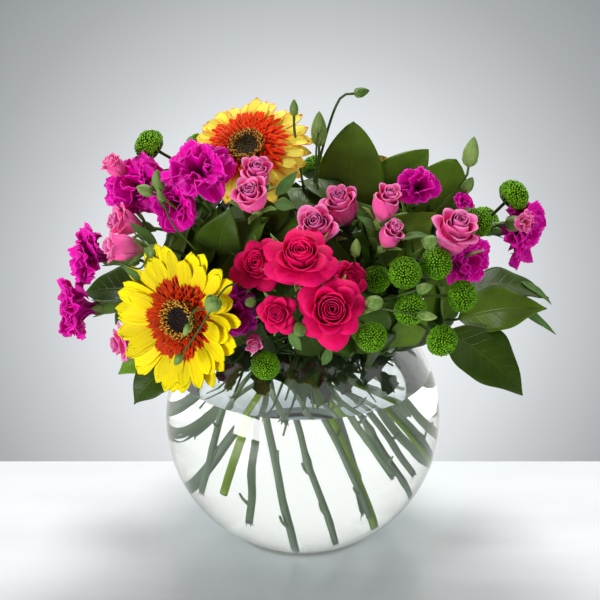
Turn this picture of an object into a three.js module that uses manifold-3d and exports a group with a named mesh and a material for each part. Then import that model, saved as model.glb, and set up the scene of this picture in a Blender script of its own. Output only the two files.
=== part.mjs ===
// A mixed bouquet with three gerberas in a round glass vase that holds water.
// Millimetres, +Z up. The origin is the middle of the vase's flat base, and -Y is the front.
import * as THREE from 'three';
import { mergeVertices } from 'three/addons/utils/BufferGeometryUtils.js';
import Module from 'manifold-3d';

const wasm = await Module();
wasm.setup();
const { Vector2, Vector3, Matrix4 } = THREE;

// ---------------------------------------------------------------- driving sizes

const BOWL_RADIUS = 100; // outside of the glass
const BASE_RADIUS = 45; // flat disc that the bowl stands on
const MOUTH_RADIUS = 64; // outside of the neck
const WALL = 2.6; // glass at the rim and the side
const BASE_THICKNESS = 6; // glass under the water
const BOWL_SIDES = 24;
const ARC_STEPS = 7; // of the bowl's profile from its base to its rim
const WATER_LEVEL = 127;
const GAP = 0.3; // clear space that every touching pair keeps
const LEAST_CUT = 0.008; // mm3 of crossing under which nothing is cut

const CENTRE_HEIGHT = Math.sqrt(BOWL_RADIUS ** 2 - BASE_RADIUS ** 2);
const RIM_HEIGHT = CENTRE_HEIGHT + Math.sqrt(BOWL_RADIUS ** 2 - MOUTH_RADIUS ** 2);
const INSIDE_RADIUS = BOWL_RADIUS - WALL;

// The stems are closest together in the neck. A stem that leans more passes farther from the middle.
const NECK_HEIGHT = RIM_HEIGHT - 6;
const WAIST_OFFSETS = [5, 50]; // of an upright stem, of a flat one
const FOOT_SPREAD = 0.95; // how far out of the vertical the flattest stem runs below the neck
const FOOT_CLEAR = 7; // from a stem's cut end to the glass

const BLADE = 0.8; // petals
const LEAF_BLADE = 0.9;
const DROOP_SPREAD = 5; // how much the petals of one layer differ in droop

// ---------------------------------------------------------------- small tools

const v3 = (x, y, z) => new Vector3(x, y, z);
const mix = (a, b, t) => a + (b - a) * t;
const clamp = (x, low, high) => Math.min(high, Math.max(low, x));

/** A seeded random number in 0..1 for a whole number, the same in every run. */
function chance(seed) {
  const x = Math.sin(seed * 127.1 + 11.7) * 43758.5453;
  return x - Math.floor(x);
}

/** A closed geometry as a solid that can be joined and cut. */
function solidOf(geometry, matrix) {
  const bare = geometry.index ? geometry.toNonIndexed() : geometry.clone();
  bare.deleteAttribute('normal');
  bare.deleteAttribute('uv');
  if (matrix) bare.applyMatrix4(matrix);
  const merged = mergeVertices(bare, 1e-3);
  const spots = merged.attributes.position.array;
  const faces = [];
  for (let i = 0; i < merged.index.count; i += 3) {
    const [a, b, c] = merged.index.array.slice(i, i + 3);
    if (a !== b && b !== c && c !== a) faces.push(a, b, c);
  }
  const made = new wasm.Manifold(
    new wasm.Mesh({ numProp: 3, vertProperties: spots, triVerts: new Uint32Array(faces) }),
  );
  if (made.volume() > 0) return made;
  const turned = [];
  for (let i = 0; i < faces.length; i += 3) turned.push(faces[i], faces[i + 2], faces[i + 1]);
  return new wasm.Manifold(
    new wasm.Mesh({ numProp: 3, vertProperties: spots, triVerts: new Uint32Array(turned) }),
  );
}

/** Solids joined into one body: loose scraps are dropped and sealed hollows filled. */
function whole(solids) {
  const bodies = wasm.Manifold.union(solids).decompose();
  return bodies.reduce((most, body) => (body.volume() > most.volume() ? body : most));
}

/** A lathed solid round +Z. The profile lists [radius, height] from the bottom up. */
function lathe(profile, sides, matrix) {
  const geometry = new THREE.LatheGeometry(profile.map(([r, z]) => new Vector2(r, z)), sides);
  geometry.rotateX(Math.PI / 2);
  return solidOf(geometry, matrix);
}

/**
 * A stalk along a smooth curve through the given points. Each ring is [share of the length, radius, notch,
 * pull]: every other side of a notched ring stands in by notch and on by pull. Grow widens the stalk and
 * lengthens both ends.
 */
function stalk(points, rings, sides, grow) {
  const curve = new THREE.CatmullRomCurve3(points, false, 'centripetal');
  const chord = points.at(-1).clone().sub(points[0]).normalize();
  const across = Math.abs(chord.z) < 0.9 ? v3(0, 0, 1) : v3(0.6, 0.8, 0);
  const rod = new THREE.CylinderGeometry(1, 1, 1, sides, rings.length - 1);
  const spots = rod.attributes.position;
  const even = 1 / Math.cos(Math.PI / sides);
  for (let i = 0; i < spots.count; i++) {
    const row = Math.round((spots.getY(i) + 0.5) * (rings.length - 1));
    const [share, radius, notch = 0, pull = 0] = rings[row];
    const angle = Math.atan2(spots.getX(i), spots.getZ(i));
    const isRim = Math.hypot(spots.getX(i), spots.getZ(i)) > 0.5;
    const isNotch = notch && Math.round((angle * sides) / (2 * Math.PI)) % 2 !== 0;
    const way = curve.getTangentAt(share);
    const first = across.clone().addScaledVector(way, -across.dot(way)).normalize();
    const second = way.clone().cross(first);
    const out = isRim ? radius - (isNotch ? notch : 0) + grow * even : 0;
    const on = (isNotch ? pull : 0) + (row === 0 ? -grow : row === rings.length - 1 ? grow : 0);
    const spot = curve.getPointAt(share)
      .addScaledVector(way, on)
      .addScaledVector(first, out * Math.cos(angle))
      .addScaledVector(second, out * Math.sin(angle));
    spots.setXYZ(i, spot.x, spot.y, spot.z);
  }
  return solidOf(rod);
}

/** Rings of one radius at even steps. */
const evenRings = (radius, steps) => Array.from({ length: steps + 1 }, (_, i) => [i / steps, radius]);

/**
 * A thin blade on a surface given as a function of u = -1..1 across and v = 0..1 along.
 * Both faces share one grid, so that they never cross where the blade is waved.
 */
function blade(across, along, thickness, surface, matrix) {
  const grid = new THREE.PlaneGeometry(2, 1, across, along);
  const spots = grid.attributes.position;
  const step = 0.01; // of u and v, for the surface's slopes
  const top = [];
  const bottom = [];
  for (let i = 0; i < spots.count; i++) {
    const u = spots.getX(i);
    const v = spots.getY(i) + 0.5;
    const middle = surface(u, v);
    const acrossWay = surface(u + step, v).sub(surface(u - step, v));
    const alongWay = surface(u, v + step).sub(surface(u, v - step));
    const half = acrossWay.cross(alongWay).normalize().multiplyScalar(thickness / 2);
    top.push(...middle.clone().add(half).toArray());
    bottom.push(...middle.clone().sub(half).toArray());
  }
  const faces = [];
  const edges = new Map();
  const cells = grid.index.array;
  for (let i = 0; i < cells.length; i += 3) {
    const corners = [cells[i], cells[i + 1], cells[i + 2]];
    faces.push(...corners, corners[0] + spots.count, corners[2] + spots.count, corners[1] + spots.count);
    corners.forEach((a, k) => {
      const b = corners[(k + 1) % 3];
      if (!edges.delete(b + ' ' + a)) edges.set(a + ' ' + b, [a, b]);
    });
  }
  for (const [a, b] of edges.values()) {
    faces.push(b, a, a + spots.count, b, a + spots.count, b + spots.count);
  }
  const geometry = new THREE.BufferGeometry();
  geometry.setAttribute('position', new THREE.Float32BufferAttribute([...top, ...bottom], 3));
  geometry.setIndex(faces);
  return solidOf(geometry, matrix);
}

/** The way that a bloom looks: azimuth from the front towards +X, and elevation, in degrees. */
function lookOf([azimuth, elevation]) {
  const a = THREE.MathUtils.degToRad(azimuth);
  const e = THREE.MathUtils.degToRad(elevation);
  return v3(Math.sin(a) * Math.cos(e), -Math.cos(a) * Math.cos(e), Math.sin(e));
}

/** A frame at a spot with its Z along the look and its X level. */
function frameAt(spot, look, spin = 0) {
  const level = v3(-look.y, look.x, 0);
  const x = level.lengthSq() > 1e-6 ? level.normalize() : v3(1, 0, 0);
  const frame = new Matrix4().makeBasis(x, look.clone().cross(x), look).setPosition(spot);
  return frame.multiply(new Matrix4().makeRotationZ(spin));
}

// ---------------------------------------------------------------- blooms
// Each is made round its own +Z, with the middle of its face at the origin, and grow widens it for cutting.

/** One layer of long petals round +Z, cut from one sheet: each has its own length and its own droop. */
function rayLayer({ radius, petals, root, height, phase, droop }, grow) {
  const outline = new THREE.Shape();
  const pitch = (2 * Math.PI) / petals;
  const reach = (i) => radius * mix(0.93, 1.05, chance(i + radius + phase)) + grow;
  // each petal's edge from its root to its tip: share of the length, share of the pitch
  const edge = [[0, -0.5], [0.6, -0.46], [0.96, -0.22], [0.96, 0.22], [0.6, 0.46]];
  for (let i = 0; i < petals; i++) {
    edge.forEach(([along, across], k) => {
      const r = mix(root, reach(i), along);
      const widen = along === 0.6 ? grow / r : 0;
      const turn = (i + phase + across) * pitch + Math.sign(across) * widen;
      outline[i + k ? 'lineTo' : 'moveTo'](r * Math.cos(turn), r * Math.sin(turn));
    });
  }
  const geometry = new THREE.ExtrudeGeometry(outline, { depth: BLADE + 2 * grow, bevelEnabled: false });
  const spots = geometry.attributes.position;
  for (let i = 0; i < spots.count; i++) {
    const out = Math.hypot(spots.getX(i), spots.getY(i));
    const petal = Math.round(Math.atan2(spots.getY(i), spots.getX(i)) / pitch - phase);
    const fall = mix(droop, droop + DROOP_SPREAD, chance(petal * 3 + radius));
    const share = clamp((out - root) / (radius - root), 0, 1.1);
    spots.setZ(i, spots.getZ(i) + height - grow + fall * share * share);
  }
  return solidOf(geometry);
}

/** Gerbera rays: two layers of long petals on a thin plate. */
function gerberaRays(radius, petals, grow) {
  const root = radius * 0.34;
  const rim = root * 0.9 + grow;
  return whole([
    lathe([[0, -3 - grow], [rim, -3 - grow], [rim, grow], [0, grow]], 10),
    rayLayer({ radius: radius * 0.94, petals, root, height: -1.1, phase: 0.5, droop: -0.5 }, grow),
    rayLayer({ radius, petals, root, height: -2.9, phase: 0, droop: -7 }, grow),
  ]);
}

/**
 * A closed body turned round +Z whose every ring has its own lobes. A ring is [radius, height, lobes, depth,
 * lift, tooth]: between the lobes the radius shrinks by depth and the height sinks by lift, and every other
 * side stands back by tooth. Below the widest ring the body grows down, above it up.
 */
function lobedBody(rings, sides, phase, grow) {
  const profile = rings.map(([radius, height]) => new Vector2(radius, height));
  const widest = rings.reduce((best, ring, k) => (ring[0] > rings[best][0] ? k : best), 0);
  const geometry = new THREE.LatheGeometry(profile, sides);
  geometry.rotateX(Math.PI / 2);
  const spots = geometry.attributes.position;
  for (let i = 0; i < spots.count; i++) {
    const row = i % rings.length;
    const step = Math.floor(i / rings.length) % sides;
    const [radius, height, lobes = 0, depth = 0, lift = 0, tooth = 0] = rings[row];
    const turn = (step / sides) * 2 * Math.PI;
    const between = lobes ? Math.abs(Math.cos((lobes * turn + phase * row) / 2)) ** 1.5 : 0;
    const out = radius ? radius - depth * between - (step % 2 ? tooth : 0) + grow : 0;
    const rise = height - lift * between + Math.sign(row - widest) * grow;
    spots.setXYZ(i, out * Math.cos(turn + phase), out * Math.sin(turn + phase), rise);
  }
  return solidOf(geometry);
}

/** The florets round a gerbera's disc: two rows of teeth round a hole, or round a closed middle. */
function gerberaRing(radius, teeth, isOpen, grow) {
  const outside = [
    [radius * 0.4 + grow, 0.5 - grow], [radius * 0.54 + grow, 3.6, true], [radius * 0.38 + grow, 3 + grow],
    [radius * 0.37 + grow, 6 + grow, false],
  ];
  const inner = radius * 0.2 - grow;
  const rings = isOpen
    ? [[inner, 0.5 - grow], ...outside, [inner, 3.4 + grow], [inner, 0.5 - grow]]
    : [[0, 0.5 - grow], ...outside, [0, 4.4 + grow]];
  const geometry = new THREE.LatheGeometry(rings.map(([r, z]) => new Vector2(r, z)), teeth * 2);
  geometry.rotateX(Math.PI / 2);
  const spots = geometry.attributes.position;
  for (let i = 0; i < spots.count; i++) {
    const isOdd = Math.floor(i / rings.length) % 2 === 1;
    if (rings[i % rings.length][2] !== isOdd) continue;
    spots.setXYZ(i, spots.getX(i) * 0.78, spots.getY(i) * 0.78, spots.getZ(i) * 0.8);
  }
  return solidOf(geometry);
}

/** A gerbera's disc: a low cushion of knobs. */
function gerberaDisc(radius, grow) {
  const around = 10;
  const rings = 5;
  const geometry = new THREE.SphereGeometry(1, around, rings);
  geometry.rotateX(Math.PI / 2);
  const spots = geometry.attributes.position;
  for (let i = 0; i < spots.count; i++) {
    const spot = v3().fromBufferAttribute(spots, i);
    const ring = Math.round((Math.acos(clamp(spot.z, -1, 1)) * rings) / Math.PI);
    const place = Math.round((Math.atan2(spot.y, spot.x) / Math.PI) * (around / 2));
    const height = spot.z > 0 ? mix(1.9, 3, (ring + place) % 2 ? 1 : 0) : 2;
    spots.setXYZ(i, spot.x * (radius + grow), spot.y * (radius + grow), 2.4 + spot.z * (height + grow));
  }
  return solidOf(geometry);
}

/** A rose: layers of petals, each a lip with lobes and a furrow inside it. Openness is 0..1, from a bud. */
function rose(radius, openness, seed, grow) {
  const r = radius;
  const depth = r * mix(1.5, 0.85, openness);
  const wide = r * mix(0.7, 1, openness);
  const lift = r * mix(0.5, 0.1, openness);
  const isFull = openness > 0.6;
  const outer = [
    [0, -depth], [r * 0.3, -depth], [wide * 0.8, -depth * 0.45], [wide, lift * 0.4, 5, r * 0.17, r * 0.16],
    [wide * 0.9, lift * 0.4 + r * 0.1, 5, r * 0.16, r * 0.14],
  ];
  const middle = isFull ? [[r * 0.68, -r * 0.08], [r * 0.7, r * 0.22, 4, r * 0.1, r * 0.12]] : [];
  const heart = [
    [wide * 0.46, lift * 0.4 - r * 0.02], [wide * 0.5, lift + r * 0.18, 3, r * 0.08, r * 0.12],
    [wide * 0.24, lift + r * 0.02], [0, lift + r * 0.26],
  ];
  return lobedBody([...outer, ...middle, ...heart], isFull ? 12 : 10, seed, grow);
}

/** A carnation: layers of frilled petals over a short throat, with a toothed lip on every layer. */
function carnation(radius, seed, grow) {
  const r = radius;
  return lobedBody([
    [0, -r * 0.75], [r * 0.2, -r * 0.75], [r * 0.55, -r * 0.3], [r, 0, 5, r * 0.16, r * 0.2, r * 0.12],
    [r * 0.62, r * 0.06], [r * 0.8, r * 0.4, 5, r * 0.14, r * 0.16, r * 0.12], [r * 0.36, r * 0.24],
    [r * 0.46, r * 0.62, 3, r * 0.1, r * 0.1, r * 0.1], [0, r * 0.3],
  ], 12, seed, grow);
}

// ---------------------------------------------------------------- green parts

/** A button chrysanthemum: a dense cushion whose surface is raised into florets. */
function buttonHead(radius, grow) {
  const around = 10;
  const rings = 5;
  const geometry = new THREE.SphereGeometry(1, around, rings);
  geometry.rotateX(Math.PI / 2);
  const spots = geometry.attributes.position;
  for (let i = 0; i < spots.count; i++) {
    const spot = v3().fromBufferAttribute(spots, i);
    const ring = Math.round((Math.acos(clamp(spot.z, -1, 1)) * rings) / Math.PI);
    const place = Math.round((Math.atan2(spot.y, spot.x) / Math.PI) * (around / 2));
    const floret = ring > 0 && ring < rings && (ring + place) % 2 ? 1.06 : 0.86;
    spot.multiplyScalar(radius * floret + grow);
    if (spot.z < 0) spot.z *= 0.5;
    spots.setXYZ(i, ...spot.toArray());
  }
  return solidOf(geometry);
}

/** How deep below the middle of its face a bloom sits on its green cup. */
function seatDepth({ kind, radius, openness }) {
  if (kind === 'gerbera') return 3 + GAP;
  if (kind === 'rose') return radius * mix(1.5, 0.85, openness) + GAP;
  if (kind === 'carnation') return radius * 0.75 + GAP;
  return radius * 0.3;
}

/** Rings of the green cup at the end of a stalk of the given length and radius, under a bloom. */
function cupRings({ kind, radius }, length, stem) {
  const at = (back) => 1 - back / length;
  if (kind === 'gerbera') return [[at(11), stem], [at(5), 8], [1, radius * 0.27]];
  if (kind === 'carnation') return [[at(18), stem], [at(14), 3.8], [1, 4.6]];
  if (kind === 'button') return [[1, stem]];
  const hip = clamp(radius * 0.3, 3, 5);
  const sepal = radius * 0.8;
  const tips = [at(1 + sepal * 0.45), hip + sepal, sepal, sepal * 0.45];
  return [[at(9), stem], [at(4), hip], tips, [1, hip * 0.9]];
}

/**
 * A leaf blade from its base to its tip, whose upper side looks the given way. Bend arches it between its
 * ends, fold raises both sides off the midrib, and lobes cut its edges in.
 */
function leaf({ from, to, look, width, bend = 5, fold = 0.2, lobes = 0 }, grow) {
  const cells = lobes ? 2 * lobes : 3;
  const base = v3(...from);
  const along = v3(...to).sub(base);
  const side = along.clone().cross(lookOf(look)).normalize();
  const up = side.clone().cross(along).normalize();
  return blade(2, cells, LEAF_BLADE + 2 * grow, (u, v) => {
    const cut = lobes && Math.round(v * cells) % 2 === 0 ? 0.45 : 1;
    const half = (width / 2) * cut * Math.sin(Math.PI * clamp(v * 0.86 + 0.1, 0, 0.975) ** 0.85) + grow;
    return base.clone()
      .addScaledVector(along, v + (grow * (2 * v - 1)) / along.length())
      .addScaledVector(side, u * half)
      .addScaledVector(up, bend * Math.sin(Math.PI * v) + fold * Math.abs(u) * half);
  });
}

// ---------------------------------------------------------------- stems

/** Radius of the space inside the glass at a height. */
function insideRadius(height) {
  return Math.sqrt(Math.max(0, INSIDE_RADIUS ** 2 - (height - CENTRE_HEIGHT) ** 2));
}

/**
 * A main stem runs from its cut end in the water, past the narrow neck, to its fork. It passes the neck
 * beside the middle, about a quarter turn on from its lean, so that the stems spiral by each other.
 */
function mainLine(fork, endHeight, end) {
  const lean = Math.max(8, Math.hypot(fork.x, fork.y));
  const slope = lean / Math.max(12, fork.z - NECK_HEIGHT);
  const offset = Math.min(0.85 * lean, mix(...WAIST_OFFSETS, slope / (1 + slope)));
  const azimuth = Math.atan2(fork.y, fork.x) + Math.acos(offset / lean);
  const waist = v3(offset * Math.cos(azimuth), offset * Math.sin(azimuth), NECK_HEIGHT);
  if (end) return [v3(...end), waist, fork];
  const flatness = slope / (0.3 + slope);
  const run = v3(-Math.sin(azimuth), Math.cos(azimuth), 0).multiplyScalar(FOOT_SPREAD * flatness);
  const foot = (drop) => waist.clone().addScaledVector(run, drop).setZ(NECK_HEIGHT - drop);
  let drop = NECK_HEIGHT - endHeight;
  while (Math.hypot(foot(drop).x, foot(drop).y) > insideRadius(foot(drop).z) - FOOT_CLEAR) drop -= 1;
  return [foot(drop), waist, fork];
}

const STEM_RADIUS = { gerbera: 2.6, rose: 1.9, carnation: 1.7, button: 1.8, leafy: 2 };
const MAIN_SHARES = [0, 0.45, 0.75, 1]; // where a main stem may bend: its wet half is straight
const BRANCH_RADIUS = 1.2;
const TWIG_RADIUS = 0.9;
const ROOT_SHARES = [0.98, -0.1]; // where branches leave their stem: the first, and the step to the next
const NECK_LENGTH = 22; // the last of a stalk stands straight under its bloom

/** The stalk of one head: from its root, to its seat under the bloom, with the green cup at its end. */
function headStalk(head, rootPoints, stem, steps, grow) {
  const look = lookOf(head.look);
  const seat = v3(...head.at).addScaledVector(look, -seatDepth(head));
  const points = [...rootPoints, seat.clone().addScaledVector(look, -NECK_LENGTH), seat];
  const length = new THREE.CatmullRomCurve3(points, false, 'centripetal').getLength();
  const cup = cupRings(head, length, stem);
  const plain = evenRings(stem, steps).map(([share, radius]) => [share * cup[0][0], radius]);
  const sides = { gerbera: 6, rose: 6, carnation: 5, button: 3 }[head.kind];
  return stalk(points, [...plain.slice(0, -1), ...cup], sides, grow);
}

/** The firm parts of a spray (stem, branches, cups, buds) and its soft ones, its leaf blades. */
function spray(plan, grow) {
  const heads = (plan.carries ?? []).map((name) => blooms[name]).concat(plan.heads ?? []);
  const fork = v3(...plan.fork);
  const line = mainLine(fork, plan.endHeight ?? 40, plan.end);
  const thick = STEM_RADIUS[plan.kind];
  let used = 0;
  const nextRoot = () => line[1].clone().lerp(fork, ROOT_SHARES[0] + ROOT_SHARES[1] * used++);
  const isSingle = heads.length === 1 && !plan.leaves;
  const firm = [
    isSingle
      ? headStalk(heads[0], line, thick, 6, grow)
      : stalk(line, MAIN_SHARES.map((share) => [share, thick]), 5, grow),
  ];
  if (!isSingle) {
    for (const head of heads) firm.push(headStalk(head, [nextRoot()], BRANCH_RADIUS, 2, grow));
  }
  for (const head of heads.filter(({ kind }) => kind === 'button')) {
    firm.push(buttonHead(head.radius, grow).transform(frameAt(v3(...head.at), lookOf(head.look)).elements));
  }
  for (const { at, look, length, width } of plan.buds ?? []) {
    const way = lookOf(look);
    const tip = v3(...at).addScaledVector(way, length / 2);
    const points = [nextRoot(), tip.clone().addScaledVector(way, -length - 8), tip];
    const full = length / new THREE.CatmullRomCurve3(points, false, 'centripetal').getLength();
    const body = [
      [1 - full, TWIG_RADIUS], [1 - 0.6 * full, width / 2], [1 - 0.25 * full, width * 0.36], [1, 0.3],
    ];
    firm.push(stalk(points, [[0, TWIG_RADIUS], [0.5 - full / 2, TWIG_RADIUS], ...body], 4, grow));
  }
  for (const one of plan.leaves ?? []) {
    const base = v3(...one.from);
    const inward = v3(...one.to).sub(base).normalize();
    const [before, under] = [-9, 4].map((far) => base.clone().addScaledVector(inward, far));
    const points = [nextRoot(), before, under];
    firm.push(stalk(points, evenRings(BRANCH_RADIUS, 2), 3, grow));
  }
  return { firm, soft: (plan.leaves ?? []).map((one) => leaf(one, grow)) };
}

// ---------------------------------------------------------------- the bouquet
// at is the middle of a bloom's face, look its azimuth from the front and its elevation in degrees.

const blooms = {
  gerbera_yellow: { kind: 'gerbera', at: [-82, -88, 200], look: [-31, 10], radius: 50, ring: 1.04 },
  gerbera_upper: { kind: 'gerbera', at: [-38, -24, 301], look: [-20, 49], radius: 43, ring: 1.12 },
  gerbera_back: { kind: 'gerbera', at: [64, 66, 246], look: [140, 38], radius: 44 },

  rose_hot_1: { kind: 'rose', at: [-30, -84, 238], look: [-18, 34], radius: 17, openness: 0.9 },
  rose_hot_2: { kind: 'rose', at: [-2, -98, 249], look: [0, 54], radius: 20.5, openness: 1 },
  rose_hot_3: { kind: 'rose', at: [-17, -110, 213], look: [-8, 12], radius: 13, openness: 0.8 },
  rose_hot_4: { kind: 'rose', at: [18.5, -114, 217], look: [4, 28], radius: 20, openness: 1 },
  rose_hot_5: { kind: 'rose', at: [31, -84, 227], look: [30, 35], radius: 12.5, openness: 0.8 },

  rose_pink_1: { kind: 'rose', at: [-31, -68, 296], look: [10, 56], radius: 14.5, openness: 0.3 },
  rose_pink_2: { kind: 'rose', at: [-34, -86, 287], look: [-12, 44], radius: 15.5, openness: 0.3 },
  rose_pink_3: { kind: 'rose', at: [9, -66, 258], look: [-12, 46], radius: 17.5, openness: 0.5 },
  rose_pink_4: { kind: 'rose', at: [26, -48, 268], look: [-22, 58], radius: 16.5, openness: 0.3 },
  rose_pink_5: { kind: 'rose', at: [56, -68, 277], look: [22, 58], radius: 14, openness: 0.1 },
  rose_pink_6: { kind: 'rose', at: [59, -84, 260], look: [28, 48], radius: 11.5, openness: 0.1 },
  rose_pink_7: { kind: 'rose', at: [102, -74, 258], look: [26, 62], radius: 19.5, openness: 0.5 },
  rose_pink_8: { kind: 'rose', at: [-125, -64, 243], look: [-80, 8], radius: 14, openness: 0.3 },
  rose_pink_9: { kind: 'rose', at: [-124, -42, 253], look: [-66, 20], radius: 14, openness: 0.5 },
  rose_pink_10: { kind: 'rose', at: [-126, -50, 167], look: [-72, -6], radius: 14, openness: 0.8 },

  carnation_1: { kind: 'carnation', at: [-115, -22, 273], look: [-32, 42], radius: 23 },
  carnation_2: { kind: 'carnation', at: [-69, -64, 297], look: [-12, 52], radius: 23 },
  carnation_3: { kind: 'carnation', at: [-87, -44, 266], look: [-22, 12], radius: 18 },
  carnation_4: { kind: 'carnation', at: [-148, -40, 228], look: [-84, 8], radius: 21 },
  carnation_5: { kind: 'carnation', at: [-157, -48, 191], look: [-86, -4], radius: 22 },
  carnation_6: { kind: 'carnation', at: [-46, -88, 205], look: [25, 14], radius: 18 },
  carnation_7: { kind: 'carnation', at: [78, -46, 280], look: [12, 44], radius: 15 },
  carnation_8: { kind: 'carnation', at: [112, -60, 232], look: [36, -4], radius: 18 },
  carnation_9: { kind: 'carnation', at: [152, -20, 239], look: [58, 6], radius: 23 },
  carnation_back: { kind: 'carnation', at: [-66, 76, 262], look: [214, 28], radius: 23 },
};

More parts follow.
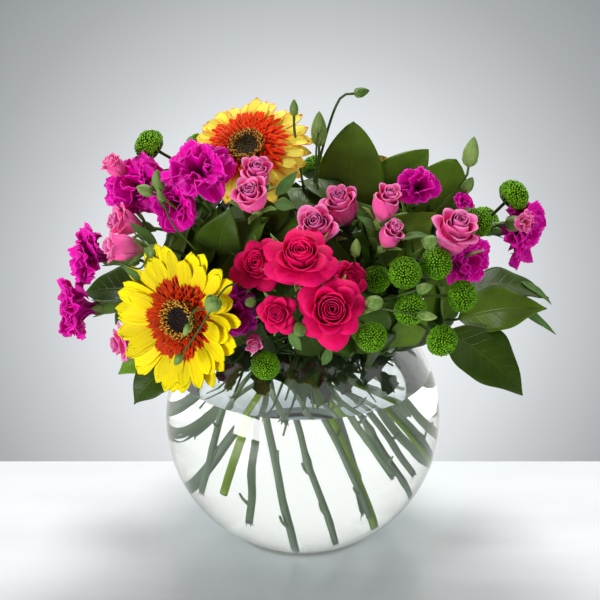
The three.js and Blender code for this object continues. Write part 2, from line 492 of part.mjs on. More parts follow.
const sprays = {
  gerbera_yellow_stem: { kind: 'gerbera', carries: ['gerbera_yellow'], fork: [-44, -42, 198] },
  gerbera_upper_stem: { kind: 'gerbera', carries: ['gerbera_upper'], fork: [-20, -6, 240], endHeight: 28 },
  gerbera_back_stem: { kind: 'gerbera', carries: ['gerbera_back'], fork: [32, 24, 212], end: [-50, -50, 58] },
  roses_hot_left_stem: {
    kind: 'rose', carries: ['rose_hot_1', 'rose_hot_2', 'rose_hot_3'], fork: [-10, -46, 212], endHeight: 50,
    buds: [{ at: [-35, -106, 219], look: [-20, 10], length: 11, width: 7 }],
  },
  roses_hot_right_stem: {
    kind: 'rose', carries: ['rose_hot_4', 'rose_hot_5'], fork: [20, -48, 206], endHeight: 60,
    buds: [
      { at: [-2, -118, 204], look: [0, -10], length: 12, width: 9 },
      { at: [35, -80, 248], look: [10, 70], length: 15, width: 7 },
    ],
  },
  roses_pink_middle_stem: {
    kind: 'rose', carries: ['rose_pink_1', 'rose_pink_2', 'rose_pink_3', 'rose_pink_4'],
    fork: [-6, -34, 240], endHeight: 34,
    leaves: [{ from: [-58, -46, 226], to: [-48, -66, 272], look: [-10, 20], width: 32 }],
  },
  roses_pink_right_stem: {
    kind: 'rose', carries: ['rose_pink_5', 'rose_pink_6', 'rose_pink_7'],
    fork: [46, -38, 226], endHeight: 46,
  },
  roses_pink_left_stem: {
    kind: 'rose', carries: ['rose_pink_8', 'rose_pink_9', 'rose_pink_10'],
    fork: [-72, -26, 206], endHeight: 66,
  },
  carnations_left_stem: {
    kind: 'carnation', carries: ['carnation_1', 'carnation_2', 'carnation_3'],
    fork: [-52, -16, 238], endHeight: 44,
    buds: [
      { at: [-97, -54, 286], look: [-10, 75], length: 18, width: 9 },
      { at: [-106, -58, 281], look: [-60, 30], length: 13, width: 8 },
    ],
  },
  carnations_low_left_stem: {
    kind: 'carnation', carries: ['carnation_4', 'carnation_5', 'carnation_6'],
    fork: [-54, -52, 184], endHeight: 70,
  },
  carnations_right_stem: {
    kind: 'carnation', carries: ['carnation_7', 'carnation_8', 'carnation_9'],
    fork: [66, -22, 222], endHeight: 52,
    buds: [
      { at: [114, -32, 300], look: [20, 72], length: 24, width: 11 },
      { at: [113, -30, 276], look: [50, 60], length: 13, width: 8 },
      { at: [145, -42, 252], look: [40, 18], length: 16, width: 11 },
    ],
  },
  carnations_back_stem: {
    kind: 'carnation', carries: ['carnation_back'], fork: [-26, 30, 226], end: [20, -38, 21],
    leaves: [{ from: [-20, 60, 240], to: [-14, 92, 284], look: [180, 30], width: 24 }],
  },
  buds_top_stem: {
    kind: 'carnation', fork: [4, -12, 262], endHeight: 30,
    buds: [
      { at: [40, -8, 335], look: [90, 12], length: 11, width: 7 },
      { at: [11, -18, 312], look: [0, 80], length: 26, width: 11 },
      { at: [-6, -26, 329], look: [0, 85], length: 12, width: 6 },
    ],
  },
  buttons_right_stem: {
    kind: 'button', fork: [44, -44, 200], endHeight: 62,
    heads: [
      { kind: 'button', at: [67, -94, 235], look: [14, 30], radius: 11.5 },
      { kind: 'button', at: [88, -82, 237], look: [35, 35], radius: 11.5 },
      { kind: 'button', at: [105, -84, 215], look: [45, 15], radius: 11.5 },
      { kind: 'button', at: [70, -104, 214], look: [20, 2], radius: 11.5 },
      { kind: 'button', at: [92, -92, 187], look: [30, -5], radius: 11.5 },
    ],
  },
  buttons_middle_stem: {
    kind: 'button', fork: [22, -58, 186], endHeight: 78,
    heads: [
      { kind: 'button', at: [49, -70, 222], look: [15, 20], radius: 10 },
      { kind: 'button', at: [45, -104, 194], look: [12, 0], radius: 11 },
      { kind: 'button', at: [-25, -86, 166], look: [-15, 0], radius: 10.5 },
    ],
    leaves: [
      { from: [8, -44, 170], to: [12, -70, 128], look: [4, 30], width: 30, lobes: 2, bend: 1 },
      { from: [30, -36, 164], to: [64, -46, 128], look: [34, 34], width: 28, lobes: 2, bend: 1 },
    ],
  },
  buttons_left_stem: {
    kind: 'button', fork: [-46, 8, 234], endHeight: 36,
    heads: [
      { kind: 'button', at: [-105, 3, 293], look: [-92, 34], radius: 12 },
      { kind: 'button', at: [-72, 8, 290], look: [-60, 50], radius: 11 },
    ],
  },
  buttons_far_right_stem: {
    kind: 'button', fork: [70, 4, 220], endHeight: 44,
    heads: [
      { kind: 'button', at: [144, -18, 263], look: [92, 42], radius: 12 },
      { kind: 'button', at: [119, -38, 251], look: [40, 30], radius: 10.5 },
      { kind: 'button', at: [130, 36, 226], look: [110, 30], radius: 12 },
    ],
  },
  buttons_back_stem: {
    kind: 'button', fork: [6, 52, 214], end: [-62, -30, 52],
    heads: [
      { kind: 'button', at: [10, 98, 246], look: [172, 45], radius: 12 },
      { kind: 'button', at: [-26, 110, 234], look: [192, 20], radius: 12 },
    ],
  },
  leaves_top: {
    kind: 'leafy', fork: [24, 6, 240], endHeight: 24,
    leaves: [
      { from: [32, -10, 244], to: [35, 0, 312], look: [0, 10], width: 46, bend: -4, fold: 0.1 },
      { from: [48, 2, 248], to: [88, 10, 289], look: [8, 30], width: 36 },
      { from: [14, 30, 222], to: [6, 66, 245], look: [180, 20], width: 42 },
    ],
  },
  leaves_right: {
    kind: 'leafy', fork: [54, -10, 222], endHeight: 40,
    leaves: [
      { from: [80, -6, 238], to: [107, 2, 284], look: [15, 20], width: 40 },
      { from: [55, -34, 226], to: [91, -36, 258], look: [15, 40], width: 26 },
      { from: [92, 26, 220], to: [126, 58, 232], look: [70, 55], width: 38 },
    ],
  },
  leaves_low_right: {
    kind: 'leafy', fork: [64, -24, 188], endHeight: 64,
    leaves: [
      { from: [108, -34, 179], to: [170, -34, 187], look: [0, 55], width: 34 },
      { from: [98, -52, 176], to: [152, -66, 135], look: [30, 35], width: 44, bend: 9 },
      { from: [112, -8, 191], to: [176, 2, 181], look: [40, 65], width: 32, bend: 8 },
      { from: [96, 34, 186], to: [146, 62, 142], look: [115, 45], width: 40, bend: 9 },
    ],
  },
  leaves_low_left: {
    kind: 'leafy', fork: [-62, -22, 178], endHeight: 74,
    leaves: [
      { from: [-98, -30, 152], to: [-130, -36, 138], look: [-35, 40], width: 26 },
      { from: [-85, -56, 156], to: [-117, -66, 128], look: [-30, 35], width: 32, bend: 8 },
      { from: [-108, -12, 190], to: [-156, -8, 188], look: [-20, 55], width: 36 },
      { from: [-92, 34, 186], to: [-140, 54, 140], look: [-120, 45], width: 40, bend: 9 },
    ],
  },
  leaves_back_left: {
    kind: 'leafy', fork: [-34, 44, 200], end: [-4, -34, 13],
    leaves: [
      { from: [-66, 66, 210], to: [-112, 96, 226], look: [215, 60], width: 40 },
      { from: [-46, 84, 188], to: [-70, 124, 148], look: [205, 40], width: 40, bend: 9 },
      { from: [-70, 30, 236], to: [-112, 44, 262], look: [235, 30], width: 36 },
    ],
  },
  leaves_back_right: {
    kind: 'leafy', fork: [40, 46, 198], end: [-33, -45, 38],
    leaves: [
      { from: [76, 72, 206], to: [120, 100, 216], look: [140, 60], width: 40 },
      { from: [44, 84, 186], to: [62, 126, 144], look: [155, 40], width: 40, bend: 9 },
      { from: [0, 84, 196], to: [-6, 128, 174], look: [182, 55], width: 36, bend: 7 },
    ],
  },
};

// ---------------------------------------------------------------- vase and water

/** Points on a circle round the bowl's centre, from one height up to the rim, as [radius, height]. */
function bowlArc(radius, fromHeight, rimHeight) {
  const angle = (height) => Math.asin(clamp((height - CENTRE_HEIGHT) / radius, -1, 1));
  return Array.from({ length: ARC_STEPS + 1 }, (_, i) => {
    const a = mix(angle(fromHeight), angle(rimHeight), i / ARC_STEPS);
    return [radius * Math.cos(a), CENTRE_HEIGHT + radius * Math.sin(a)];
  });
}

function vase(grow) {
  const outside = bowlArc(BOWL_RADIUS + grow, -grow, RIM_HEIGHT + grow);
  const inside = bowlArc(INSIDE_RADIUS - grow, BASE_THICKNESS - grow, RIM_HEIGHT + grow);
  return lathe([[0, -grow], ...outside, ...inside.reverse(), [0, BASE_THICKNESS - grow]], BOWL_SIDES);
}

/** The water fills the bowl to its level: the space inside the glass, less what lies above the level. */
function water() {
  const side = bowlArc(INSIDE_RADIUS - GAP, BASE_THICKNESS + GAP, RIM_HEIGHT);
  const space = lathe([[0, BASE_THICKNESS + GAP], ...side, [0, RIM_HEIGHT]], BOWL_SIDES);
  const top = RIM_HEIGHT + 1;
  const air = [[0, WATER_LEVEL], [BOWL_RADIUS, WATER_LEVEL], [BOWL_RADIUS, top], [0, top]];
  return space.subtract(lathe(air, BOWL_SIDES));
}

// ---------------------------------------------------------------- putting it together

/** Every piece as {node, make}, those that keep their shape first. Later ones give way to earlier ones. */
const pieces = [{ node: 'vase', make: vase }];
const add = (node, make) => pieces.push({ node, make });
for (const [name, plan] of Object.entries(sprays)) {
  add(name, (grow) => wasm.Manifold.union(spray(plan, grow).firm));
}
for (const [name, bloom] of Object.entries(blooms)) {
  const frame = frameAt(v3(...bloom.at), lookOf(bloom.look), chance(bloom.radius + bloom.at[0]) * 2);
  const placed = (shape) => (grow) => shape(grow).transform(frame.elements);
  const { kind, radius, openness } = bloom;
  if (kind === 'gerbera') {
    const isFront = name !== 'gerbera_back';
    const middle = radius * (bloom.ring ?? 1);
    add(name + '_rays', placed((grow) => gerberaRays(radius, isFront ? 12 : 10, grow)));
    add(name + '_ring', placed((grow) => gerberaRing(middle, isFront ? 13 : 11, isFront, grow)));
    if (isFront) add(name + '_disc', placed((grow) => gerberaDisc(middle * 0.2 - GAP, grow)));
  } else if (kind === 'rose') {
    add(name, placed((grow) => rose(radius, openness, radius, grow)));
  } else {
    add(name, placed((grow) => carnation(radius, radius, grow)));
  }
}
for (const [name, plan] of Object.entries(sprays)) {
  const count = spray(plan, 0).soft.length;
  for (let i = 0; i < count; i++) add(name, (grow) => spray(plan, grow).soft[i]);
}

/** True where two boxes come near each other. */
const near = (a, b) => [0, 1, 2].every((k) => a.min[k] < b.max[k] && b.min[k] < a.max[k]);

const made = [];
for (const { node, make } of pieces) {
  let solid = make(0);
  const box = solid.boundingBox();
  for (const before of made) {
    if (before.node === node || !near(box, before.box)) continue;
    if (solid.intersect(before.fat).volume() > LEAST_CUT) solid = solid.subtract(before.fat);
  }
  const fat = make(GAP).add(solid);
  made.push({ node, solid, fat, box: fat.boundingBox() });
}
const wet = made.filter((piece) => piece.node !== 'vase' && piece.box.min[2] < WATER_LEVEL);
const solids = { water: whole([wet.reduce((body, piece) => body.subtract(piece.fat), water())]) };
for (const { node } of made) {
  solids[node] ??= whole(made.filter((piece) => piece.node === node).map((piece) => piece.solid));
}

const COLOURS = {
  vase: 0xe6eeee, water: 0xdfe9ea, rays: 0xf7cf12, ring: 0xd9400f, disc: 0x2a1a08,
  hot: 0xe2125c, pink: 0xd765a3, carnation: 0xc40c94, buttons: 0x5c9c14, leaves: 0x35542a, stem: 0x5f8a3c,
};
const bouquet = new THREE.Group();
for (const [name, solid] of Object.entries(solids)) {
  const { vertProperties, triVerts } = solid.getMesh();
  const geometry = new THREE.BufferGeometry();
  geometry.setAttribute('position', new THREE.BufferAttribute(vertProperties, 3));
  geometry.setIndex(new THREE.BufferAttribute(triVerts, 1));
  geometry.computeVertexNormals();
  const word = name.endsWith('_stem') ? 'stem' : Object.keys(COLOURS).find((one) => name.includes(one));
  const color = COLOURS[word];
  const isClear = name === 'vase' || name === 'water';
  const material = new THREE.MeshStandardMaterial({ color, roughness: isClear ? 0.05 : 0.6, metalness: 0 });
  const mesh = new THREE.Mesh(geometry, material);
  mesh.name = name;
  bouquet.add(mesh);
}

export default bouquet;
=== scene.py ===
"""A mixed bouquet with three gerberas in a round glass vase of water, on a pale table.

Sizes are in millimetres up to the point where a piece is finished, and -Y is the front.
"""
import math
import random

import bmesh
import bpy
from mathutils import Matrix, Vector


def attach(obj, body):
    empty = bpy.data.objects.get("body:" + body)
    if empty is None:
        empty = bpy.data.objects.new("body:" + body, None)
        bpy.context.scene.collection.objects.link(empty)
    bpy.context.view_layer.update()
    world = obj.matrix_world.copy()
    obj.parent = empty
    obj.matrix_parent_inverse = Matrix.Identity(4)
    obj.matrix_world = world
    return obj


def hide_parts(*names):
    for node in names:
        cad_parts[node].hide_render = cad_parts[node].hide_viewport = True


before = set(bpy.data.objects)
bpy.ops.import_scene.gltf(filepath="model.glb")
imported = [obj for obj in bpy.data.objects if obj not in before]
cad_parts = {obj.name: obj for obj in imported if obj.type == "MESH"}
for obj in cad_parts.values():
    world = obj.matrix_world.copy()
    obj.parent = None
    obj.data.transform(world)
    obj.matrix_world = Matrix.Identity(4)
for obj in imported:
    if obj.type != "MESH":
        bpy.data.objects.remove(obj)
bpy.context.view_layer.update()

# ---------------------------------------------------------------- driving sizes

BOWL_RADIUS = 100
BASE_RADIUS = 45
MOUTH_RADIUS = 64
WALL = 2.6
BASE_THICKNESS = 6
WATER_LEVEL = 127
CENTRE_HEIGHT = math.sqrt(BOWL_RADIUS ** 2 - BASE_RADIUS ** 2)
RIM_HEIGHT = CENTRE_HEIGHT + math.sqrt(BOWL_RADIUS ** 2 - MOUTH_RADIUS ** 2)
INSIDE_RADIUS = BOWL_RADIUS - WALL
BOWL_SIDES = 144
FOOT_HEIGHT = 1.6  # of the ground ring that the bowl stands on
FOOT_INSIDE = 38  # radius of the ring's inner edge
WATER_CLEAR = 0.05  # between the water and the glass
LIP_WIDTH, LIP_HEIGHT = 1.55, 1.4  # half the width and the height of the rounded lip
GAP = 0.3  # between a bloom and its green cup

NECK_HEIGHT = RIM_HEIGHT - 6
WAIST_OFFSETS = (5, 50)  # how far from the axis a stem passes the neck: a steep one, and a flat one
FOOT_SPREAD = 0.95  # how far a flat stem runs sideways for each millimetre that it drops in the bowl
FOOT_CLEAR = 7  # between the foot of a stem and the glass
STEM_RADIUS = {"gerbera": 2.6, "rose": 1.9, "carnation": 1.7, "button": 1.8, "leafy": 2.0}
BRANCH_RADIUS = 1.2
TWIG_RADIUS = 0.9
ROOT_SHARES = (0.98, -0.1)  # where on its stem the first stalk grows, and how much lower each next one
NECK_LENGTH = 22  # straight part of a stalk under its bloom

PETAL_THICKNESS = 0.35
LEAF_THICKNESS = 0.5
CARNATION_PETALS = 34
DISC_FLORETS = 120
BUTTON_FLORETS = 430
BUTTON_SPREAD = 98  # degrees from the top of its dome to its rim
JOINT_SPACING = {"gerbera": 61, "rose": 47, "carnation": 38, "button": 61, "leafy": 61}
FRAYS = 9  # torn fibres at the cut end of a stem
PALE = 1  # the place of the pale green among the materials of a stem
BRIGHT, LOBED, LOBED_IN_NECK = 2, 4, 2  # the places of these kinds among the materials of leaves

MM = 0.001
UP = Vector((0, 0, 1))
FULL_TURN = 2 * math.pi
ANY_TURN = 6.28  # radians that a turn or a phase is drawn from
GOLDEN_TURN = math.pi * (3 - math.sqrt(5))

# ---------------------------------------------------------------- small tools


def mix(a, b, t):
    """The value at a share t of the way from a to b."""
    return a + (b - a) * t


def clamp(x, low=0.0, high=1.0):
    """The number, kept between its limits."""
    return max(low, min(high, x))


def ease(x):
    """A step from 0 to 1 that starts and ends gently."""
    x = clamp(x)
    return x * x * (3 - 2 * x)


def chance(seed):
    """A seeded number in 0..1, the same one that the solids use."""
    x = math.sin(seed * 127.1 + 11.7) * 43758.5453
    return x - math.floor(x)


def look_of(azimuth, elevation):
    """The way that a bloom looks: azimuth from the front towards +X, and elevation, in degrees."""
    a, e = math.radians(azimuth), math.radians(elevation)
    return Vector((math.sin(a) * math.cos(e), -math.cos(a) * math.cos(e), math.sin(e)))


def frame_at(spot, look, spin=0.0):
    """A frame at a spot with its Z along the look and its X level."""
    level = Vector((-look.y, look.x, 0))
    x = level.normalized() if level.length > 1e-3 else Vector((1, 0, 0))
    y = look.cross(x)
    turned = Matrix((x, y, look)).transposed().to_4x4()
    return Matrix.Translation(spot) @ turned @ Matrix.Rotation(spin, 4, "Z")


def turned_out(place, turn, out, up):
    """The place turned about its Z, and then moved out along its X and up."""
    return place @ Matrix.Rotation(turn, 4, "Z") @ Matrix.Translation((out, 0, up))


def spindle(width, thin, start, span, lean, power):
    """The radius along a spindle, thickest in the middle: it gives a function of the share of its length."""
    return lambda s: max(thin, width / 2 * math.sin(math.pi * clamp(start + span * s ** lean)) ** power)


CURVE_SPLITS = 16  # that the length between two given points of a curve is measured in


def smooth_path(points, steps):
    """
    Points at even steps of length along a smooth curve through the given points, and its length. It is a
    centripetal curve, which makes no loops where the points lie close together.
    """
    points = [Vector(p) for p in points]
    ends = [2 * points[0] - points[1], *points, 2 * points[-1] - points[-2]]
    fine = [points[0]]
    for p0, p1, p2, p3 in zip(ends, ends[1:], ends[2:], ends[3:]):
        t01, t12, t23 = (max((b - a).length, 1e-6) ** 0.5 for a, b in ((p0, p1), (p1, p2), (p2, p3)))
        m1 = ((p1 - p0) / t01 - (p2 - p0) / (t01 + t12) + (p2 - p1) / t12) * t12
        m2 = ((p2 - p1) / t12 - (p3 - p1) / (t12 + t23) + (p3 - p2) / t23) * t12
        for k in range(1, CURVE_SPLITS + 1):
            t = k / CURVE_SPLITS
            fine.append((2 * t ** 3 - 3 * t ** 2 + 1) * p1 + (t ** 3 - 2 * t ** 2 + t) * m1
                        + (3 * t ** 2 - 2 * t ** 3) * p2 + (t ** 3 - t ** 2) * m2)
    lengths = [0.0]
    for a, b in zip(fine, fine[1:]):
        lengths.append(lengths[-1] + (b - a).length)
    even, k = [], 0
    for step in range(steps + 1):
        want = lengths[-1] * step / steps
        while k < len(fine) - 2 and lengths[k + 1] < want:
            k += 1
        even.append(fine[k].lerp(fine[k + 1], (want - lengths[k]) / max(lengths[k + 1] - lengths[k], 1e-9)))
    return even, lengths[-1]


# ---------------------------------------------------------------- making meshes
# Each petal carries "tone", a number of its own in 0..1, and its own UV: across in x and along in y.


def new_mesh():
    """An empty mesh with a tone for each corner and one UV map."""
    bm = bmesh.new()
    bm.verts.layers.float.new("tone")
    bm.loops.layers.uv.new("UVMap")
    return bm


def sheet(bm, across, along, surface, tone=0.5, finish=0):
    """Adds a sheet: a grid whose corners go where surface(u, v) says, u = -1..1 across and v = 0..1 along."""
    tones = bm.verts.layers.float["tone"]
    corners = bmesh.ops.create_grid(bm, x_segments=across, y_segments=along, size=1, calc_uvs=True)["verts"]
    for corner in corners:
        corner.co = surface(corner.co.x, (corner.co.y + 1) / 2)
        corner[tones] = tone
        for face in corner.link_faces:
            face.smooth = True
            face.material_index = finish


def rod(bm, points, radius_at, sides=8, steps=12, flat=1.0, broad=None, tone=0.5, finish=0, bump=None):
    """
    Adds a closed rod along the smooth curve through the points. radius_at gives its radius at a share of its
    length, flat squeezes it to a blade whose broad side lies along broad, and bump(share, angle) swells it.
    """
    path, _ = smooth_path(points, steps)
    ways = [(b - a).normalized() for a, b in zip([path[0]] + path[:-1], path[1:] + [path[-1]])]
    side = Vector(broad) if broad else ways[0].orthogonal()
    frames = []
    for way in ways:
        side = (side - way * side.dot(way)).normalized()
        frames.append((side.copy(), way.cross(side)))
    rows = steps + 2

    def surface(u, v):
        row = round(v * rows)
        at = min(max(row - 1, 0), steps)
        angle = math.pi * u
        radius = 0 if row in (0, rows) else radius_at(at / steps) * (bump(at / steps, angle) if bump else 1)
        first, second = frames[at]
        return path[at] + first * (radius * math.cos(angle)) + second * (radius * flat * math.sin(angle))

    sheet(bm, sides, rows, surface, tone, finish)


def peg(bm, matrix, base, top, height, sides=5, tone=0.5, finish=0):
    """Adds a short tapered peg with its foot at the matrix. Its UV runs from 0 there to 1 at its top."""
    tones = bm.verts.layers.float["tone"]
    uv = bm.loops.layers.uv["UVMap"]
    made = bmesh.ops.create_cone(
        bm, cap_ends=True, cap_tris=False, segments=sides, radius1=base, radius2=top, depth=height,
        matrix=matrix @ Matrix.Translation((0, 0, height / 2)))["verts"]
    for k, corner in enumerate(made):
        corner[tones] = tone
        for loop in corner.link_loops:
            loop[uv].uv = (0.5, k % 2)
            loop.face.smooth = True
            loop.face.material_index = finish


def finished(bm, name, materials, nodes, slot, thickness=0.0, backed=False, sharp=0):
    """
    Turns the mesh in millimetres into a piece in metres, that stands for the given solids. A sheet gets its
    thickness here. Where it is backed, its underside has the material that comes next after its upper side's.
    """
    bmesh.ops.remove_doubles(bm, verts=bm.verts, dist=1e-4)
    if not thickness:
        bmesh.ops.recalc_face_normals(bm, faces=bm.faces)
    bmesh.ops.scale(bm, vec=(MM, MM, MM), verts=bm.verts)
    mesh = bpy.data.meshes.new(name)
    bm.to_mesh(mesh)
    bm.free()
    for one in materials:
        mesh.materials.append(one)
    piece = bpy.data.objects.new(name, mesh)
    bpy.context.scene.collection.objects.link(piece)
    if thickness:
        wall = piece.modifiers.new("Thickness", "SOLIDIFY")
        wall.thickness = thickness * MM
        wall.offset = 0
        wall.material_offset = 1 if backed else 0
    if sharp:
        mesh.set_sharp_from_angle(angle=math.radians(sharp))
    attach(piece, "root")
    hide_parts(*nodes)
    return piece


# ---------------------------------------------------------------- materials


def colour(code):
    """An sRGB hex colour as linear RGBA."""
    parts = [int(code[i:i + 2], 16) / 255 for i in (1, 3, 5)]
    return (*[c / 12.92 if c <= 0.04045 else ((c + 0.055) / 1.055) ** 2.4 for c in parts], 1)


def add(tree, kind, inputs=None, out=None, stops=None, **settings):
    """Adds a shader node. Inputs are values or sockets, and stops are a colour ramp's (place, colour)."""
    node = tree.nodes.new("ShaderNode" + kind)
    for key, value in settings.items():
        setattr(node, key, value)
    if stops:
        ramp = node.color_ramp
        while len(ramp.elements) < len(stops):
            ramp.elements.new(0.5)
        for element, (place, code) in zip(ramp.elements, stops):
            element.position, element.color = place, colour(code)
    for key, value in (inputs or {}).items():
        open_ones = [s for s in node.inputs if s.enabled]
        socket = open_ones[key] if isinstance(key, int) else next(s for s in open_ones if s.name == key)
        if isinstance(value, bpy.types.NodeSocket):
            tree.links.new(value, socket)
        elif isinstance(value, str) and value.startswith("#"):
            socket.default_value = colour(value)
        else:
            socket.default_value = value
    return next((s for s in node.outputs if s.enabled and (out is None or s.name == out)), None)


def empty_material(name):
    """A material without nodes, and its tree."""
    made = bpy.data.materials.new(name)
    made.use_nodes = True
    made.node_tree.nodes.clear()
    return made, made.node_tree


def material(name, paint=None, **shader):
    """A material on one Principled shader. Paint(tree) gives its linked inputs, and shader its fixed ones."""
    made, tree = empty_material(name)
    inputs = {key.replace("_", " "): value for key, value in shader.items()}
    if paint:
        inputs.update(paint(tree))
    surface = add(tree, "BsdfPrincipled", inputs)
    add(tree, "OutputMaterial", {"Surface": surface})
    return made


def lengthwise(tree):
    """The piece's own UV, how far along it a point is, and how near a side edge: 0 in the middle, 1 there."""
    uv = add(tree, "TexCoord", out="UV")
    across = add(tree, "SeparateXYZ", {"Vector": uv}, out="X")
    along = add(tree, "SeparateXYZ", {"Vector": uv}, out="Y")
    signed = add(tree, "Math", {0: across, 1: 2.0, 2: -1.0}, operation="MULTIPLY_ADD")
    return uv, along, add(tree, "Math", {0: signed}, operation="ABSOLUTE")


def petal_paint(stops, edge_colour, edge_from, vein_scale, vein_depth, vary=0.25):
    """
    Paint for a petal: stops colour it from its root to its tip, edge_colour lies along its margin, and fine
    veins run lengthwise. Vein_scale is the number of veins across, and vary how much petals differ.
    """
    def paint(tree):
        uv, along, edge = lengthwise(tree)
        tone = add(tree, "Attribute", out="Fac", attribute_name="tone")
        body = add(tree, "ValToRGB", {"Fac": along}, out="Color", stops=stops)
        stretched = add(tree, "Mapping", {"Vector": uv, "Scale": (vein_scale, 1.6, 1)})
        shift = add(tree, "Math", {0: tone, 1: 40.0}, operation="MULTIPLY")
        veins = add(tree, "TexNoise", {"Vector": stretched, "W": shift, "Scale": 1.0, "Detail": 3.0},
                    out="Fac", noise_dimensions="4D")
        at_tip = add(tree, "MapRange", {"Value": along, "From Min": 0.90, "From Max": 1.0}, out="Result")
        at_side = add(tree, "MapRange", {"Value": edge, "From Min": edge_from, "From Max": 1.0}, out="Result")
        margin = add(tree, "Math", {0: at_tip, 1: at_side}, operation="MAXIMUM")
        edged = add(tree, "Mix", {"Factor": margin, "A": body, "B": edge_colour},
                    out="Result", data_type="RGBA")
        light = add(tree, "Math", {0: tone, 1: vary, 2: 1 - vary / 2}, operation="MULTIPLY_ADD")
        streak = add(tree, "Math", {0: veins, 1: 0.5, 2: -0.25}, operation="MULTIPLY_ADD")
        value = add(tree, "Math", {0: light, 1: streak}, operation="ADD")
        toned = add(tree, "HueSaturation", {"Color": edged, "Value": value})
        bump = add(tree, "Bump", {"Height": veins, "Strength": vein_depth, "Distance": 0.6 * MM})
        return {"Base Color": toned, "Normal": bump}
    return paint


def leaf_paint(stops, vein_colour, ribs, vein_strength):
    """Paint for a leaf: a pale midrib, side veins that run outwards and on, and a fine net between them."""
    def paint(tree):
        uv, along, edge = lengthwise(tree)
        tone = add(tree, "Attribute", out="Fac", attribute_name="tone")
        body = add(tree, "ValToRGB", {"Fac": tone}, out="Color", stops=stops)
        slant = add(tree, "Math", {0: edge, 1: -1.7, 2: 0.0}, operation="MULTIPLY_ADD")
        order = add(tree, "Math", {0: along, 1: float(ribs), 2: slant}, operation="MULTIPLY_ADD")
        saw = add(tree, "Math", {0: order}, operation="FRACT")
        off = add(tree, "Math", {0: saw, 1: 0.5}, operation="SUBTRACT")
        far = add(tree, "Math", {0: off}, operation="ABSOLUTE")
        side = add(tree, "MapRange", {"Value": far, "From Min": 0.07, "From Max": 0.0}, out="Result")
        fade = add(tree, "MapRange", {"Value": edge, "From Min": 0.95, "From Max": 0.2}, out="Result")
        side_rib = add(tree, "Math", {0: side, 1: fade}, operation="MULTIPLY")
        mid_rib = add(tree, "MapRange", {"Value": edge, "From Min": 0.055, "From Max": 0.015}, out="Result")
        rib = add(tree, "Math", {0: side_rib, 1: mid_rib}, operation="MAXIMUM")
        wide = add(tree, "Mapping", {"Vector": uv, "Scale": (14, 26, 1)})
        net = add(tree, "TexVoronoi", {"Vector": wide, "Scale": 1.0},
                  out="Distance", feature="DISTANCE_TO_EDGE")
        mottle = add(tree, "TexNoise", {"Vector": wide, "Scale": 0.22, "Detail": 4.0}, out="Fac")
        value = add(tree, "Math", {0: mottle, 1: 0.7, 2: 0.65}, operation="MULTIPLY_ADD")
        toned = add(tree, "HueSaturation", {"Color": body, "Value": value})
        share = add(tree, "Math", {0: rib, 1: vein_strength}, operation="MULTIPLY")
        lined = add(tree, "Mix", {"Factor": share, "A": toned, "B": vein_colour},
                    out="Result", data_type="RGBA")
        relief = add(tree, "Math", {0: net, 1: 0.25, 2: 0.0}, operation="MULTIPLY_ADD")
        raised = add(tree, "Math", {0: relief, 1: rib}, operation="ADD")
        bump = add(tree, "Bump", {"Height": raised, "Strength": 0.35, "Distance": 0.8 * MM})
        return {"Base Color": lined, "Normal": bump}
    return paint


def stem_paint(air_stops, wet_and_haze_colour):
    """Paint for stems and calyces: fine streaks along them, and a greyer green under water, partly painted
    haze.
    """
    def paint(tree):
        place = add(tree, "TexCoord", out="Object")
        height = add(tree, "SeparateXYZ", {"Vector": place}, out="Z")
        tone = add(tree, "Attribute", out="Fac", attribute_name="tone")
        dry = add(tree, "ValToRGB", {"Fac": tone}, out="Color", stops=air_stops)
        # Under water the green turns greyer: partly the stems' wet look, partly painted haze for the glass
        # and water in front of them.
        level = WATER_LEVEL * MM
        wet = add(tree, "MapRange", {"Value": height, "From Min": level, "From Max": level - 12 * MM},
                  out="Result")
        share = add(tree, "Math", {0: wet, 1: 0.75}, operation="MULTIPLY")
        body = add(tree, "Mix", {"Factor": share, "A": dry, "B": wet_and_haze_colour}, out="Result", data_type="RGBA")
        uv = add(tree, "TexCoord", out="UV")
        stretched = add(tree, "Mapping", {"Vector": uv, "Scale": (9, 5, 1)})
        streaks = add(tree, "TexNoise", {"Vector": stretched, "Scale": 1.0, "Detail": 5.0}, out="Fac")
        value = add(tree, "Math", {0: streaks, 1: 1.0, 2: 0.5}, operation="MULTIPLY_ADD")
        toned = add(tree, "HueSaturation", {"Color": body, "Value": value})
        bump = add(tree, "Bump", {"Height": streaks, "Strength": 0.3, "Distance": 0.5 * MM})
        return {"Base Color": toned, "Normal": bump}
    return paint


def floret_paint(stops, vary=0.4):
    """Paint for small florets, coloured from foot to tip, each a little lighter or darker than the next."""
    def paint(tree):
        _, along, _ = lengthwise(tree)
        tone = add(tree, "Attribute", out="Fac", attribute_name="tone")
        # the dark foot of the ramp is painted shade between the packed florets
        body = add(tree, "ValToRGB", {"Fac": along}, out="Color", stops=stops)
        value = add(tree, "Math", {0: tone, 1: vary, 2: 1 - vary / 2}, operation="MULTIPLY_ADD")
        return {"Base Color": add(tree, "HueSaturation", {"Color": body, "Value": value})}
    return paint


# Petals are soft and hardly shine. A little light enters them and comes out some millimetres on, red the
# farthest.
SOFT = {"Subsurface_Weight": 0.10, "Subsurface_Radius": (0.004, 0.0015, 0.001), "Subsurface_Scale": 0.5,
        "Specular_IOR_Level": 0.14}

# Gerbera rays: matt, faintly ribbed petals, pure yellow on the front one, and gold edged with orange above.
# The yellow rays darken to amber at their roots: painted shade at the bases of the petals.
yellow_rays = material("yellow_gerbera_rays", petal_paint(
    [(0.0, "#CC8E00"), (0.3, "#EEC800"), (1.0, "#FDE800")], "#FFEC08", 0.85, 9, 0.6, 0.3),
    Roughness=0.55, **SOFT)
golden_rays = material("golden_gerbera_rays", petal_paint(
    [(0.0, "#E87010"), (0.35, "#F8BC20"), (0.7, "#FFE850"), (1.0, "#FFE458")], "#F4902C", 0.80, 9, 0.5, 0.25),
    Roughness=0.55, **SOFT)
